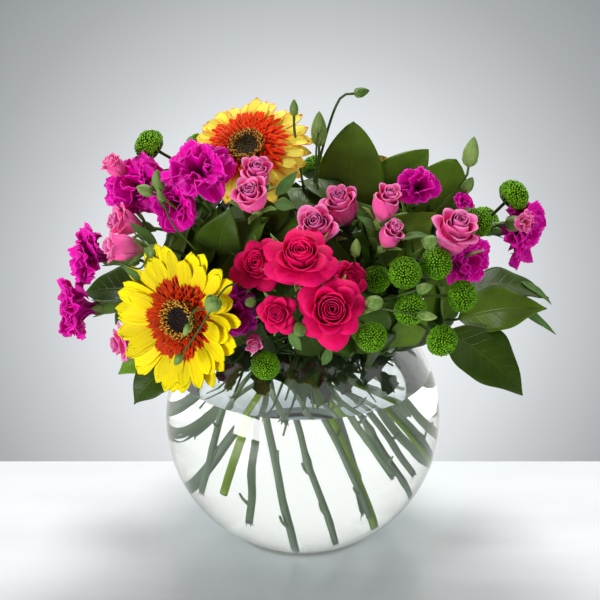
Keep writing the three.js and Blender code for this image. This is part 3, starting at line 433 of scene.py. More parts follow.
# The short florets round the disc: orange-red with paler rims, and the rim of the disc, gold.
red_florets = material("red_ring_florets", petal_paint(
    [(0.0, "#7A0C02"), (0.45, "#C41C02"), (1.0, "#DE3A08")], "#E06A2C", 0.6, 4, 0.3, 0.5),
    Roughness=0.5, **SOFT)
bright_florets = material("bright_ring_florets", petal_paint(
    [(0.0, "#A21802"), (0.45, "#F82E06"), (1.0, "#FF4A12")], "#FF7434", 0.6, 4, 0.3, 0.4),
    Roughness=0.5, **SOFT)
# The gold rim florets darken to brown at their feet: painted shade between them.
gold_florets = material("gold_rim_florets", floret_paint(
    [(0.0, "#3A1606"), (0.6, "#9A5A10"), (1.0, "#D8A436")], 0.9), Roughness=0.5)
dark_disc = material("dark_disc_florets", floret_paint(
    [(0.0, "#0A0402"), (1.0, "#24100A")], 0.8), Roughness=0.7)
olive_disc = material("olive_disc_florets", floret_paint(
    [(0.0, "#1A1004"), (1.0, "#5A4A16")], 0.9), Roughness=0.6)
# Rose petals: velvety, so they keep a soft sheen at their edges, with paler rims on every petal.
VELVET = {"Roughness": 0.55, "Sheen_Weight": 0.02, "Sheen_Roughness": 0.4, **SOFT}
# The hot pink petals darken to near black towards their roots: painted shade deep in the cup of the rose.
hot_petals = material("hot_pink_rose_petals", petal_paint(
    [(0.0, "#240006"), (0.45, "#80002A"), (0.85, "#D40052"), (1.0, "#F0005E")],
    "#F4146C", 0.955, 14, 0.3, 0.2),
    Roughness=0.65, Sheen_Weight=0.01, Sheen_Roughness=0.4, **SOFT)
pink_petals = material("lavender_pink_rose_petals", petal_paint(
    [(0.0, "#E4B090"), (0.25, "#E46494"), (0.8, "#F252A0"), (1.0, "#F464AA")],
    "#FA8EC2", 0.955, 14, 0.35, 0.3),
    **VELVET)
heart_petals = material("magenta_rose_hearts", petal_paint(
    [(0.0, "#5A0432"), (0.6, "#A81A70"), (1.0, "#CC3A8C")], "#E478B2", 0.955, 14, 0.35, 0.3),
    **VELVET)
# Carnation petals: thin, crisp and waved, with white claws.
# Just above their white claws both carnation colours turn dark: painted shade deep inside the flower.
magenta_petals = material("magenta_carnation_petals", petal_paint(
    [(0.0, "#F0D8D0"), (0.12, "#8A0460"), (0.5, "#BE0088"), (1.0, "#E600A8")], "#F02CBE", 0.95, 10, 0.4, 0.4),
    Roughness=0.5, **SOFT)
violet_petals = material("violet_carnation_petals", petal_paint(
    [(0.0, "#E8D0D0"), (0.12, "#70045A"), (0.5, "#9A0074"), (1.0, "#BC0090")], "#D23CB0", 0.95, 10, 0.4, 0.4),
    Roughness=0.5, **SOFT)
# Button flowers: hundreds of tight florets, lime at their tips, with painted shade dark at their feet between
# them.
lime_florets = material("lime_button_florets", floret_paint(
    [(0.0, "#1E4200"), (0.5, "#346200"), (0.85, "#488002"), (1.0, "#76AE14")], 0.6),
    Roughness=0.55, Specular_IOR_Level=0.2)
# Foliage: the upper sides are satin and dark, the undersides matt and paler, with raised ribs.
leaf_top = material("leaf_uppersides", leaf_paint(
    [(0.0, "#2A3C0A"), (0.5, "#3E5A10"), (1.0, "#5A781C")], "#6E8A34", 9, 0.13),
    Roughness=0.42, Specular_IOR_Level=0.2)
leaf_back = material("leaf_undersides", leaf_paint(
    [(0.0, "#42602A"), (0.5, "#507034"), (1.0, "#648844")], "#7A9858", 9, 0.4),
    Roughness=0.6, Specular_IOR_Level=0.2)
bright_leaf = material("bright_young_leaves", leaf_paint(
    [(0.0, "#48720E"), (0.5, "#567E12"), (1.0, "#6A941E")], "#86AA3A", 7, 0.4),
    Roughness=0.45, Specular_IOR_Level=0.3)
# The lobed leaves are near black: painted shade for leaves that hang in the dark neck of the vase.
painted_shade_leaf = material("lobed_leaves_painted_shade", leaf_paint(
    [(0.0, "#10160A"), (0.5, "#1A220C"), (1.0, "#262E12")], "#34442A", 6, 0.2),
    Roughness=0.5, Specular_IOR_Level=0.25)
# Stems, cups and buds: satin skins with fine streaks along them, from dark green to pale.
stem_green = material("green_stems", stem_paint(
    [(0.0, "#26380F"), (0.5, "#3A5418"), (1.0, "#567426")], "#707C66"), Roughness=0.5, Specular_IOR_Level=0.3)
pale_green = material("pale_cups_and_buds", stem_paint(
    [(0.0, "#34501E"), (0.5, "#55762E"), (1.0, "#8CA658")], "#7A8868"), Roughness=0.5, Specular_IOR_Level=0.3)
gerbera_stem = material("gerbera_stems", stem_paint(
    [(0.0, "#5E7A10"), (0.5, "#6C8A14"), (1.0, "#829C20")], "#6E8824"), Roughness=0.4, Specular_IOR_Level=0.3)


def clear(name, ior, tint, shade, edge=None):
    """
    A clear material, through which light from the lamps passes straight, shaded a little. Edge is its deeper
    colour where one looks along its wall.
    """
    made, tree = empty_material(name)
    if edge:
        facing = add(tree, "LayerWeight", {"Blend": 0.5}, out="Facing")
        deep = add(tree, "Math", {0: facing, 1: 3.0}, operation="POWER")
        tint = add(tree, "Mix", {"Factor": deep, "A": tint, "B": edge}, out="Result", data_type="RGBA")
    body = add(tree, "BsdfPrincipled", {
        "Base Color": tint, "Roughness": 0.0, "IOR": ior, "Transmission Weight": 1.0})
    open_way = add(tree, "BsdfTransparent", {"Color": shade})
    is_shadow = add(tree, "LightPath", out="Is Shadow Ray")
    both = add(tree, "MixShader", {0: is_shadow, 1: body, 2: open_way})
    add(tree, "OutputMaterial", {"Surface": both})
    return made


# Blown soda-lime glass, IOR 1.5, polished by the fire. Where water wets it only the step to 1.33 is left.
glass = clear("blown_glass", 1.5, "#F8FCFC", "#C8D0D3", "#3C4639")
# The ground foot ring is dark grey: partly the frosted ring of the glass, partly painted contact shade where
# the bowl stands.
ground_foot = material(
    "ground_glass_foot_and_contact_shade", Base_Color="#6A7268", Roughness=0.6, IOR=1.5, Transmission_Weight=0.35)
wet_glass = clear("glass_against_water", 1.5 / 1.333, "#FFFFFF", "#FFFFFF")
water_top = clear("water_surface", 1.333, "#FCFFFF", "#E4E8EA")
water_side = clear("water_against_glass", 1.0, "#FFFFFF", "#E4E8EA")

# ---------------------------------------------------------------- blooms
# Each is made in its own frame: the middle of its face at the origin and +Z the way that it looks.


def ray_petal(bm, place, root, reach, width, rise, lift, cup, rng):
    """One long gerbera petal along +X of its place: two furrows along it, and a notched tip."""
    notch = rng.uniform(0.015, 0.07)
    twist = rng.uniform(-0.2, 0.2)
    sway = rng.uniform(-0.06, 0.06)
    point = rng.uniform(0.4, 0.75)

    def surface(u, v):
        if v < 0.6:
            half = 0.34 + 0.66 * math.sin(math.pi / 2 * v / 0.6)
        else:
            half = max(0.0, 1 - ((v - 0.6) / 0.401) ** 3) ** point
        out = root + (reach - root) * v * (1 - notch * (0.5 - 0.5 * math.cos(3 * math.pi * u)) * v ** 6)
        furrow = 0.28 * math.cos(3 * math.pi * u) * half
        y = u * half * width / 2 + sway * reach * v * v
        z = rise * math.sin(math.pi * 0.75 * v) + lift * v * v + cup * u * u * half - furrow + twist * y
        return place @ Vector((out, y, z))

    sheet(bm, 8, 12, surface, rng.random())


# Layers of rays: how many, their reach as a share of the radius, how low they start and how far they rise.
RAY_LAYERS = ((24, 1.03, -2.8, 1.2), (21, 0.96, -1.6, 1.8), (8, 0.84, -0.6, 2.2))
# Rows of red florets: their share of the radius, how many, their length and how steeply they stand.
RING_ROWS = ((0.24, 28, 4.6, 1.2), (0.27, 30, 5.4, 1.0), (0.30, 32, 6.0, 0.80), (0.34, 34, 6.6, 0.60),
             (0.38, 34, 7.2, 0.42), (0.42, 32, 8.0, 0.28), (0.45, 26, 8.6, 0.16))
# Rows of gold florets round the disc: their share of the radius, how many and their height.
RIM_ROWS = ((0.170, 34, 3.0), (0.190, 40, 3.8), (0.210, 46, 4.4), (0.230, 46, 4.8))
RING_RADIUS = 49  # of the bloom that the florets' sizes above are for


def gerbera_rays(bm, place, radius, lift, rng):
    """The layers of rays, the lowest longest. Lift is how far their tips rise."""
    for count, share, low, rise in RAY_LAYERS:
        for k in range(count):
            turn = (k + rng.uniform(-0.25, 0.25)) / count * FULL_TURN + share * 7
            reach = radius * share * rng.uniform(0.93, 1.04)
            spot = turned_out(place, turn, 0, low + rng.uniform(-0.4, 0.4))
            ray_petal(bm, spot, radius * 0.3, reach, radius * rng.uniform(0.19, 0.25), rise,
                      lift + rng.uniform(-3.4, 3.4), rng.uniform(-1.2, 1.6), rng)


def strap(bm, place, length, width, tilt, curl, rng, finish=0):
    """One short pointed floret that stands from its place at a tilt, and curls back."""
    def surface(u, v):
        half = width / 2 * math.sin(math.pi * (0.25 + 0.72 * v)) ** 0.75
        angle = tilt - curl * v
        rise = length * v * math.sin(angle) + 0.3 * width * u * u
        return place @ Vector((length * v * math.cos(angle), u * half, rise))

    sheet(bm, 4, 4, surface, rng.random(), finish)


def gerbera_ring(bm, place, radius, rng):
    """Rows of red florets that overlap like scales, then the small gold ones that rim the disc."""
    size = radius / RING_RADIUS
    for share, count, length, tilt in RING_ROWS:
        for k in range(count):
            turn = (k + rng.uniform(-0.4, 0.4)) / count * FULL_TURN + share * 31
            long = length * rng.uniform(0.82, 1.15) * size
            strap(bm, turned_out(place, turn, radius * share, 0.4), long, 3.7 * size,
                  tilt + rng.uniform(-0.15, 0.15), 0.35, rng)
    for share, count, height in RIM_ROWS:
        for k in range(count):
            turn = (k + rng.uniform(-0.3, 0.3)) / count * FULL_TURN + share * 57
            lean = Matrix.Rotation(rng.uniform(-0.1, 0.5), 4, "Y")
            high = height * rng.uniform(0.75, 1.2) * size
            peg(bm, turned_out(place, turn, radius * share, 0.6) @ lean, 0.55 * size, 0.45 * size, high, 5,
                rng.random(), 1)


def gerbera_disc(bm, place, radius, rng):
    """The disc: closed florets packed on a low cushion, a little sunken in the middle."""
    for k in range(DISC_FLORETS):
        share = math.sqrt((k + 0.5) / DISC_FLORETS)
        spot = turned_out(place, k * GOLDEN_TURN, radius * 0.165 * share, 0.2)
        high = 1.2 + 1.2 * share * share + rng.uniform(-0.2, 0.3)
        peg(bm, spot, radius * 0.017, radius * 0.010, high, 5, rng.random())


def rose(bm, place, radius, openness, rng, heart_finish=0):
    """
    A rose of petals in a spiral, from the heart out. Openness runs from 0, a bud, to 1. The outer petals of
    an open rose lie back, and roll their sides under so that they end in a point.
    """
    depth = radius * mix(1.5, 0.85, openness)
    lift = radius * mix(0.5, 0.1, openness)
    wide = radius * mix(0.7, 1.0, openness)
    count = round(mix(14, 27, openness))
    for k in range(count):
        t = k / (count - 1)
        turn = k * GOLDEN_TURN + rng.uniform(-0.2, 0.2)
        outer = ease((t - 0.45) / 0.5) * mix(0.35, 1.0, openness)
        flat = openness * outer ** 1.5
        top = wide * mix(0.08, mix(0.62, 0.93, openness), t ** 1.15) * rng.uniform(0.94, 1.04)
        belly = wide * mix(0.16, mix(0.95, 0.80, openness), t ** 0.85)
        high = mix(lift + radius * 0.22, lift * 0.5 + radius * mix(0.24, -0.10, openness), outer)
        high += radius * 0.12 * math.sin(math.pi * clamp(t * 1.9))
        span = math.radians(mix(115, mix(80, 58, openness), t ** 0.7))
        roll = radius * 0.20 * outer
        lip = radius * 0.05 * ease(t / 0.4)
        wave, tone = rng.uniform(0, ANY_TURN), rng.random()
        side = rng.uniform(-0.5, 0.5)
        pointed = rng.uniform(0.15, 0.32) * radius * ease((t - 0.35) / 0.4)

        def surface(u, v):
            climb = math.sin(math.pi / 2 * clamp(v / 0.62))
            closed = mix(radius * 0.16, belly, climb)
            if v > 0.5:
                closed = mix(closed, top, ease((v - 0.5) / 0.5))
            out = mix(closed, mix(radius * 0.16, top, v ** 1.2), flat)
            z = -depth + (depth + high) * mix(v ** 0.95, math.sin(math.pi / 2 * v) ** 0.85, flat)
            width = math.sin(math.pi * clamp(0.16 + 0.66 * v)) ** 0.7
            angle = u * span * mix(width, 1, 0.25 + 0.35 * outer)
            near_tip = max(0.0, (v - 0.68) / 0.32)
            z -= (depth + high) * mix(0.05, 0.16, t) * abs(u) ** 2.2 * v ** 2.5
            out += pointed * near_tip ** 2 * (1 - 1.8 * abs(u) ** 1.2)
            curl = roll * near_tip ** 2 * (1 + side * u)
            under = roll * 1.7 * ease(abs(u) * 1.25 - 0.25) * v ** 3
            out += (curl + lip * near_tip ** 3) * 0.7 - under * 0.35
            out += radius * 0.015 * math.sin(3.1 * u + wave) * v * v
            z -= curl * 0.8 + under
            out *= 1 + 0.07 * u * (1 - outer)
            return place @ Vector((out * math.cos(turn + angle), out * math.sin(turn + angle), z))

        sheet(bm, 14, 12, surface, tone, heart_finish if t < 0.45 else 0)


def carnation(bm, place, radius, rng, count=CARNATION_PETALS):
    """A spray carnation: broad petals on narrow claws, waved and folded, with a finely toothed margin."""
    for k in range(count):
        t = (k + 0.5) / count
        turn = k * GOLDEN_TURN + rng.uniform(-0.4, 0.4)
        length = radius * mix(1.2, 1.66, t) * rng.uniform(0.8, 1.06)
        tip_way = math.radians(mix(76, -16, t ** 0.8) + rng.uniform(-24, 24))
        width = radius * mix(0.34, 0.50, t) * rng.uniform(0.8, 1.2)
        frill = radius * rng.uniform(0.06, 0.13)
        waves, phase = rng.uniform(0.9, 2.2), rng.uniform(0, ANY_TURN)
        fold = rng.uniform(0.1, 0.6) * rng.choice((1, -1))
        twist = rng.uniform(-0.8, 0.8)
        steps = 10
        path, out, up = [(radius * 0.12, -radius * 0.75)], radius * 0.12, -radius * 0.75
        for step in range(steps):
            share = (step + 0.5) / steps
            way = mix(math.radians(84), tip_way, ease((share - 0.2) / 0.6))
            out += math.cos(way) * length / steps
            up += math.sin(way) * length / steps
            path.append((out, up))

        def surface(u, v):
            row = round(v * steps)
            here, last = Vector(path[row]), Vector(path[max(row - 1, 0)])
            along = (here - last).normalized() if row else Vector((0, 1))
            across = Vector((-along.y, along.x))
            fan = radius * 0.05 + width * ease((v - 0.22) / 0.6) * (1 - 0.18 * ease((v - 0.8) / 0.2))
            open_part = ease((v - 0.3) / 0.7)
            broad_wave = math.sin(waves * math.pi * u + phase)
            shift = frill * open_part * (broad_wave + 0.35 * math.sin(7.3 * u + 2 * phase) * v)
            shift += twist * u * fan * 0.6 + fold * fan * u * u
            shift += frill * 0.4 * v ** 4 * math.sin(15 * u + 3 * phase)
            teeth = 0.03 * abs(math.sin(6.5 * math.pi * u + phase)) * (v > 0.95)
            rounded = 0.24 * abs(u) ** 2.6 * ease((v - 0.55) / 0.45)
            spot = here + across * shift - along * (teeth + rounded) * length
            return place @ (Matrix.Rotation(turn, 3, "Z") @ Vector((spot.x, u * fan, spot.y)))

        sheet(bm, 22, steps, surface, rng.random())


def button_head(bm, place, radius, rng):
    """A button flower: short blunt florets packed over a dome, that lean outwards more towards its rim."""
    for k in range(BUTTON_FLORETS):
        share = (k + 0.5) / BUTTON_FLORETS
        polar = math.radians(BUTTON_SPREAD) * math.sqrt(share)
        turn = k * GOLDEN_TURN + rng.uniform(-0.04, 0.04)
        spot = turned_out(place, turn, 0, 0) @ Matrix.Rotation(polar, 4, "Y")
        squash = mix(1.0, 0.84, ease((polar - 1.3) / 0.6))
        lean = mix(-0.2, 0.85, ease(polar / 1.5)) + rng.uniform(-0.15, 0.15)
        dip = 0.07 * math.exp(-(polar / 0.3) ** 2)
        root = turned_out(spot, 0, 0, radius * (0.74 - dip) * squash) @ Matrix.Rotation(lean, 4, "Y")
        size = radius * mix(0.055, 0.078, share)
        peg(bm, root, size * 0.9, size, radius * 0.25 * squash * rng.uniform(0.82, 1.15), 5, rng.random())
    # the dome under the florets takes their darkest foot colour: painted shade in the gaps between them
    core = bmesh.ops.create_icosphere(bm, subdivisions=3, radius=radius * 0.84)["verts"]
    for corner in core:
        corner.co.z *= 0.4 if corner.co.z < 0 else 1
    bmesh.ops.transform(bm, matrix=place, verts=core)


# ---------------------------------------------------------------- green parts


def seat_depth(head):
    """How deep below the middle of its face a bloom sits on its green cup."""
    radius = head["radius"]
    if head["kind"] == "gerbera":
        return 3 + GAP
    if head["kind"] == "rose":
        return radius * mix(1.5, 0.85, head["openness"]) + GAP
    if head["kind"] == "carnation":
        return radius * 0.75 + GAP
    return radius * 0.3


def blade(bm, place, turn, spots, width, tone, thin=0.16, finish=PALE):
    """A small pointed blade, such as a sepal, through (out, up) spots at a turn round the place."""
    points = [place @ Vector((out * math.cos(turn), out * math.sin(turn), up)) for out, up in spots]
    broad = place.to_3x3() @ Vector((-math.sin(turn), math.cos(turn), 0))
    rod(bm, points, spindle(width, 0.08, 0.12, 0.86, 1, 0.9), 6, 7, thin, broad, tone, finish)


def ring_of_blades(bm, place, count, spots, width, tone, first=0.0):
    """Small blades at even turns round the place, the first of them at its own turn."""
    for k in range(count):
        blade(bm, place, first + k * FULL_TURN / count, spots, width, tone)


def green_cup(bm, head, seat, look, rng):
    """The green cup under a bloom, with its sepals, teeth or bracts."""
    kind, radius = head["kind"], head["radius"]
    place = frame_at(seat, look, rng.uniform(0, ANY_TURN))

    def cup(heights, radius_at, sides, steps, tone):
        line = [place @ (UP * height) for height in heights]
        rod(bm, line, radius_at, sides, steps, tone=tone, finish=PALE)

    if kind == "gerbera":
        cup((-13, -6, 0.2), lambda s: mix(2.8, radius * 0.3, ease(s) ** 1.4), 16, 8, 0.6)
        for k in range(26):
            blade(bm, place, k * GOLDEN_TURN, [(4, -9), (9, -4), (13, -1.5)], 3.4, rng.random())
    elif kind == "carnation":
        cup((-20, -8, 1.5), lambda s: mix(2.2, 4.8, ease(s * 1.7)), 12, 10, rng.uniform(0.4, 0.7))
        ring_of_blades(bm, place, 5, [(4.5, -3), (5.2, 1), (6.4, 5.5)], 4.6, 0.7)
        ring_of_blades(bm, place, 4, [(2.2, -20), (4.4, -15.5), (5.2, -12)], 4.4, 0.35, first=0.4)
    elif kind == "rose":
        hip = clamp(radius * 0.3, 3, 5)
        cup((-10, -4.5, 0.5), lambda s: mix(1.3, hip, math.sin(math.pi / 2 * clamp(s * 1.35)) ** 1.6), 12, 9,
            rng.uniform(0.45, 0.75))
        long = radius * 1.05
        belly = radius * mix(0.7, 1.0, head["openness"]) * 0.93
        for k in range(5):
            turn = k * FULL_TURN / 5 + rng.uniform(-0.2, 0.2)
            back = rng.uniform(-0.5, 0.7)
            spots = [(hip * 0.8, -1.5), (belly * 0.75, long * 0.25), (belly * 1.05, long * 0.5),
                     (belly * 1.08 + long * 0.3, long * (0.72 - 0.3 * back))]
            blade(bm, place, turn, spots, clamp(radius * 0.32, 2.6, 4.6), rng.uniform(0.5, 1.0))
    else:
        for k in range(18):
            spots = [(1.2, -2.6), (radius * 0.45, -2.0), (radius * 0.78, 0.8)]
            blade(bm, place, k * GOLDEN_TURN, spots, 2.6, rng.uniform(0.1, 0.6))


def leaf_blade(bm, start, end, look, width, rng, bend=5.0, fold=0.2, ripple=0.03, lobes=0, finish=0, curl=0.0,
               tip=1.15, tone=None):
    """
    A leaf from its base to its tip whose upper side looks the given way. Bend arches it, fold raises both
    sides off the midrib, ripple waves its margin, lobes cut it in, curl turns its tip down, and the greater
    tip is, the longer it tapers.
    """
    base = Vector(start)
    run = Vector(end) - base
    side = run.cross(look_of(*look)).normalized()
    up = side.cross(run).normalized()
    tone = rng.random() if tone is None else tone
    phase = rng.uniform(0, ANY_TURN)
    long = run.length
    widest = 0.4

    def surface(u, v):
        if v < widest:
            half = width / 2 * math.sin(math.pi / 2 * v / widest) ** 0.75
        else:
            half = width / 2 * (1 - ((v - widest) / (1 - widest)) ** 1.8) ** tip
        back = 0.0
        if lobes:
            beat = lobes * v * FULL_TURN
            cut = 0.5 - 0.5 * math.cos(beat)
            half *= mix(0.30, 1.15, cut ** 0.7) * (1 + 0.16 * math.sin(beat * 4))
            back = -0.10 * long * abs(u) * cut
        wave = ripple * width * math.sin(2.6 * FULL_TURN * v + phase + (1.4 if u > 0 else 0)) * u * u
        arch = bend * math.sin(math.pi * v) - curl * long * v ** 3
        lifted = fold * abs(u) * half - 0.35 * fold * u * u * half
        return base + run * v - run.normalized() * back + side * (u * half) + up * (arch + lifted + wave)

    sheet(bm, 12, 48 if lobes else 20, surface, tone, finish)


def inside_radius(height):
    """Radius of the space inside the glass at a height."""
    return math.sqrt(max(0.0, INSIDE_RADIUS ** 2 - (height - CENTRE_HEIGHT) ** 2))


def main_line(fork, end_height, end=None):
    """The line of a main stem: its cut end in the water, its place in the neck, its fork."""
    lean = max(8.0, math.hypot(fork.x, fork.y))
    slope = lean / max(12.0, fork.z - NECK_HEIGHT)
    offset = min(0.85 * lean, mix(*WAIST_OFFSETS, slope / (1 + slope)))
    azimuth = math.atan2(fork.y, fork.x) + math.acos(offset / lean)
    waist = Vector((offset * math.cos(azimuth), offset * math.sin(azimuth), NECK_HEIGHT))
    if end:
        return [Vector(end), waist, fork]
    flatness = slope / (0.3 + slope)
    run = Vector((-math.sin(azimuth), math.cos(azimuth), 0)) * (FOOT_SPREAD * flatness)

    def foot(drop):
        spot = waist + run * drop
        spot.z = NECK_HEIGHT - drop
        return spot

    drop = NECK_HEIGHT - end_height
    while foot(drop).xy.length > inside_radius(foot(drop).z) - FOOT_CLEAR:
        drop -= 1
    return [foot(drop), waist, fork]


def jointed(length, spacing, swell):
    """A swelling at every joint of a stem, as a share of its radius."""
    def bump(share, _):
        far = abs((share * length / spacing) % 1 - 0.5) * spacing
        return 1 + swell * math.exp(-(far / 1.8) ** 2)
    return bump


def stem(bm, points, radius, kind, rng, steps=40):
    """A main stem: frayed where it is cut, jointed, and not quite straight."""
    path, length = smooth_path(points, 12)
    points = [path[0], *[p + Vector([rng.uniform(-1, 1) for _ in range(3)]) for p in path[1:-1]], path[-1]]
    place = frame_at(path[0], (path[0] - path[1]).normalized(), rng.uniform(0, 6))
    for k in range(FRAYS):
        spots = [(radius * 0.7, -2), (radius * 0.85, 0),
                 (radius * rng.uniform(0.9, 1.9), rng.uniform(0.8, 3.5))]
        blade(bm, place, k * 0.7, spots, radius * 0.6, rng.random(), thin=0.4, finish=0)
    for share in (rng.uniform(0.05, 0.16), rng.uniform(0.2, 0.3)):  # stubs of leaves that were stripped off
        root = path[0].lerp(path[4], share * 3)
        out = Vector((rng.uniform(-1, 1), rng.uniform(-1, 1), rng.uniform(0.2, 1))).normalized()
        rod(bm, [root, root + out * rng.uniform(4, 6), root + out * 8 + UP * rng.uniform(1, 4)],
            lambda s: radius * mix(0.7, 0.35, s), 7, 5, tone=rng.random())
    joints = jointed(length, JOINT_SPACING[kind], 0.5 if kind == "carnation" else 0.16)
    rod(bm, points, lambda s: radius * mix(1.25, 0.92, s), 12, steps, tone=rng.uniform(0.1, 0.9), bump=joints)


def head_stalk(bm, head, root_points, radius, rng, steps):
    """The stalk of one head from its root to its seat, and the cup on its end."""
    look = look_of(*head["look"])
    seat = Vector(head["at"]) - look * seat_depth(head)
    points = [*root_points, seat - look * NECK_LENGTH, seat - look * 0.5]
    tone = rng.uniform(0.2, 0.9)
    rod(bm, points, lambda s: radius * mix(1.1, 0.95, s), 10, steps, tone=tone)
    green_cup(bm, head, seat, look, rng)


def bud(bm, root, at, look, length, width, rng):
    """A closed bud on its twig: ribbed and pointed, with small bracts at its foot."""
    way = look_of(*look)
    tip = Vector(at) + way * (length / 2)
    foot = tip - way * length
    tone = rng.uniform(0.3, 0.9)
    rod(bm, [root, foot - way * 8, foot], lambda s: TWIG_RADIUS, 8, 16, tone=tone)
    rod(bm, [foot, Vector(at), tip], spindle(width, 0.12, 0.06, 0.93, 0.8, 0.75),
        14, 14, tone=tone, finish=PALE, bump=lambda s, a: 1 + 0.05 * math.cos(5 * a))
    spots = [(0.6, 0), (width * 0.42, length * 0.16), (width * 0.50, length * 0.4)]
    ring_of_blades(bm, frame_at(foot, way, rng.uniform(0, 6)), 4, spots, width * 0.42, 0.8)


# ---------------------------------------------------------------- the bouquet
# at is the middle of a bloom's face, look its azimuth from the front and its elevation in degrees, and
# openness runs from 0, a bud, to 1. A gerbera also has the lift of its rays' tips and the size of its ring.


def bloom(kind, at, look, radius, openness=0.0, **more):
    """One row of the table of blooms."""
    return dict(kind=kind, at=at, look=look, radius=radius, openness=openness, **more)


blooms = {
    "gerbera_yellow": bloom("gerbera", (-82, -88, 200), (-31, 10), 50, lift=7, ring=1.04),
    "gerbera_upper": bloom("gerbera", (-38, -24, 301), (-20, 49), 43, ring=1.12, lift=-6),
    "gerbera_back": bloom("gerbera", (64, 66, 246), (140, 38), 44),
    "rose_hot_1": bloom("rose", (-30, -84, 238), (-18, 34), 17, 0.9),
    "rose_hot_2": bloom("rose", (-2, -98, 249), (0, 54), 20.5, 1),
    "rose_hot_3": bloom("rose", (-17, -110, 213), (-8, 12), 13, 0.8),
    "rose_hot_4": bloom("rose", (18.5, -114, 217), (4, 28), 20, 1),
    "rose_hot_5": bloom("rose", (31, -84, 227), (30, 35), 12.5, 0.8),
    "rose_pink_1": bloom("rose", (-31, -68, 296), (10, 56), 14.5, 0.3),
    "rose_pink_2": bloom("rose", (-34, -86, 287), (-12, 44), 15.5, 0.3),
    "rose_pink_3": bloom("rose", (9, -66, 258), (-12, 46), 17.5, 0.5),
    "rose_pink_4": bloom("rose", (26, -48, 268), (-22, 58), 16.5, 0.3),
    "rose_pink_5": bloom("rose", (56, -68, 277), (22, 58), 14, 0.1),
    "rose_pink_6": bloom("rose", (59, -84, 260), (28, 48), 11.5, 0.1),
    "rose_pink_7": bloom("rose", (102, -74, 258), (26, 62), 19.5, 0.5),
    "rose_pink_8": bloom("rose", (-125, -64, 243), (-80, 8), 14, 0.3),
    "rose_pink_9": bloom("rose", (-124, -42, 253), (-66, 20), 14, 0.5),
    "rose_pink_10": bloom("rose", (-126, -50, 167), (-72, -6), 14, 0.8),
    "carnation_1": bloom("carnation", (-115, -22, 273), (-32, 42), 23),
    "carnation_2": bloom("carnation", (-69, -64, 297), (-12, 52), 23),
    "carnation_3": bloom("carnation", (-87, -44, 266), (-22, 12), 18),
    "carnation_4": bloom("carnation", (-148, -40, 228), (-84, 8), 21),
    "carnation_5": bloom("carnation", (-157, -48, 191), (-86, -4), 22),
    "carnation_6": bloom("carnation", (-46, -88, 205), (25, 14), 18),
    "carnation_7": bloom("carnation", (78, -46, 280), (12, 44), 15, petals=17),
    "carnation_8": bloom("carnation", (112, -60, 232), (36, -4), 18),
    "carnation_9": bloom("carnation", (152, -20, 239), (58, 6), 23),
    "carnation_back": bloom("carnation", (-66, 76, 262), (214, 28), 23),
}


def button(at, look, radius):
    """One button flower of a spray."""
    return bloom("button", at, look, radius)


def leaf(start, end, look, width, **more):
    """One broad leaf of a spray from its base to its tip. Look is the way that its upper side faces."""
    return dict(start=start, end=end, look=look, width=width, **more)


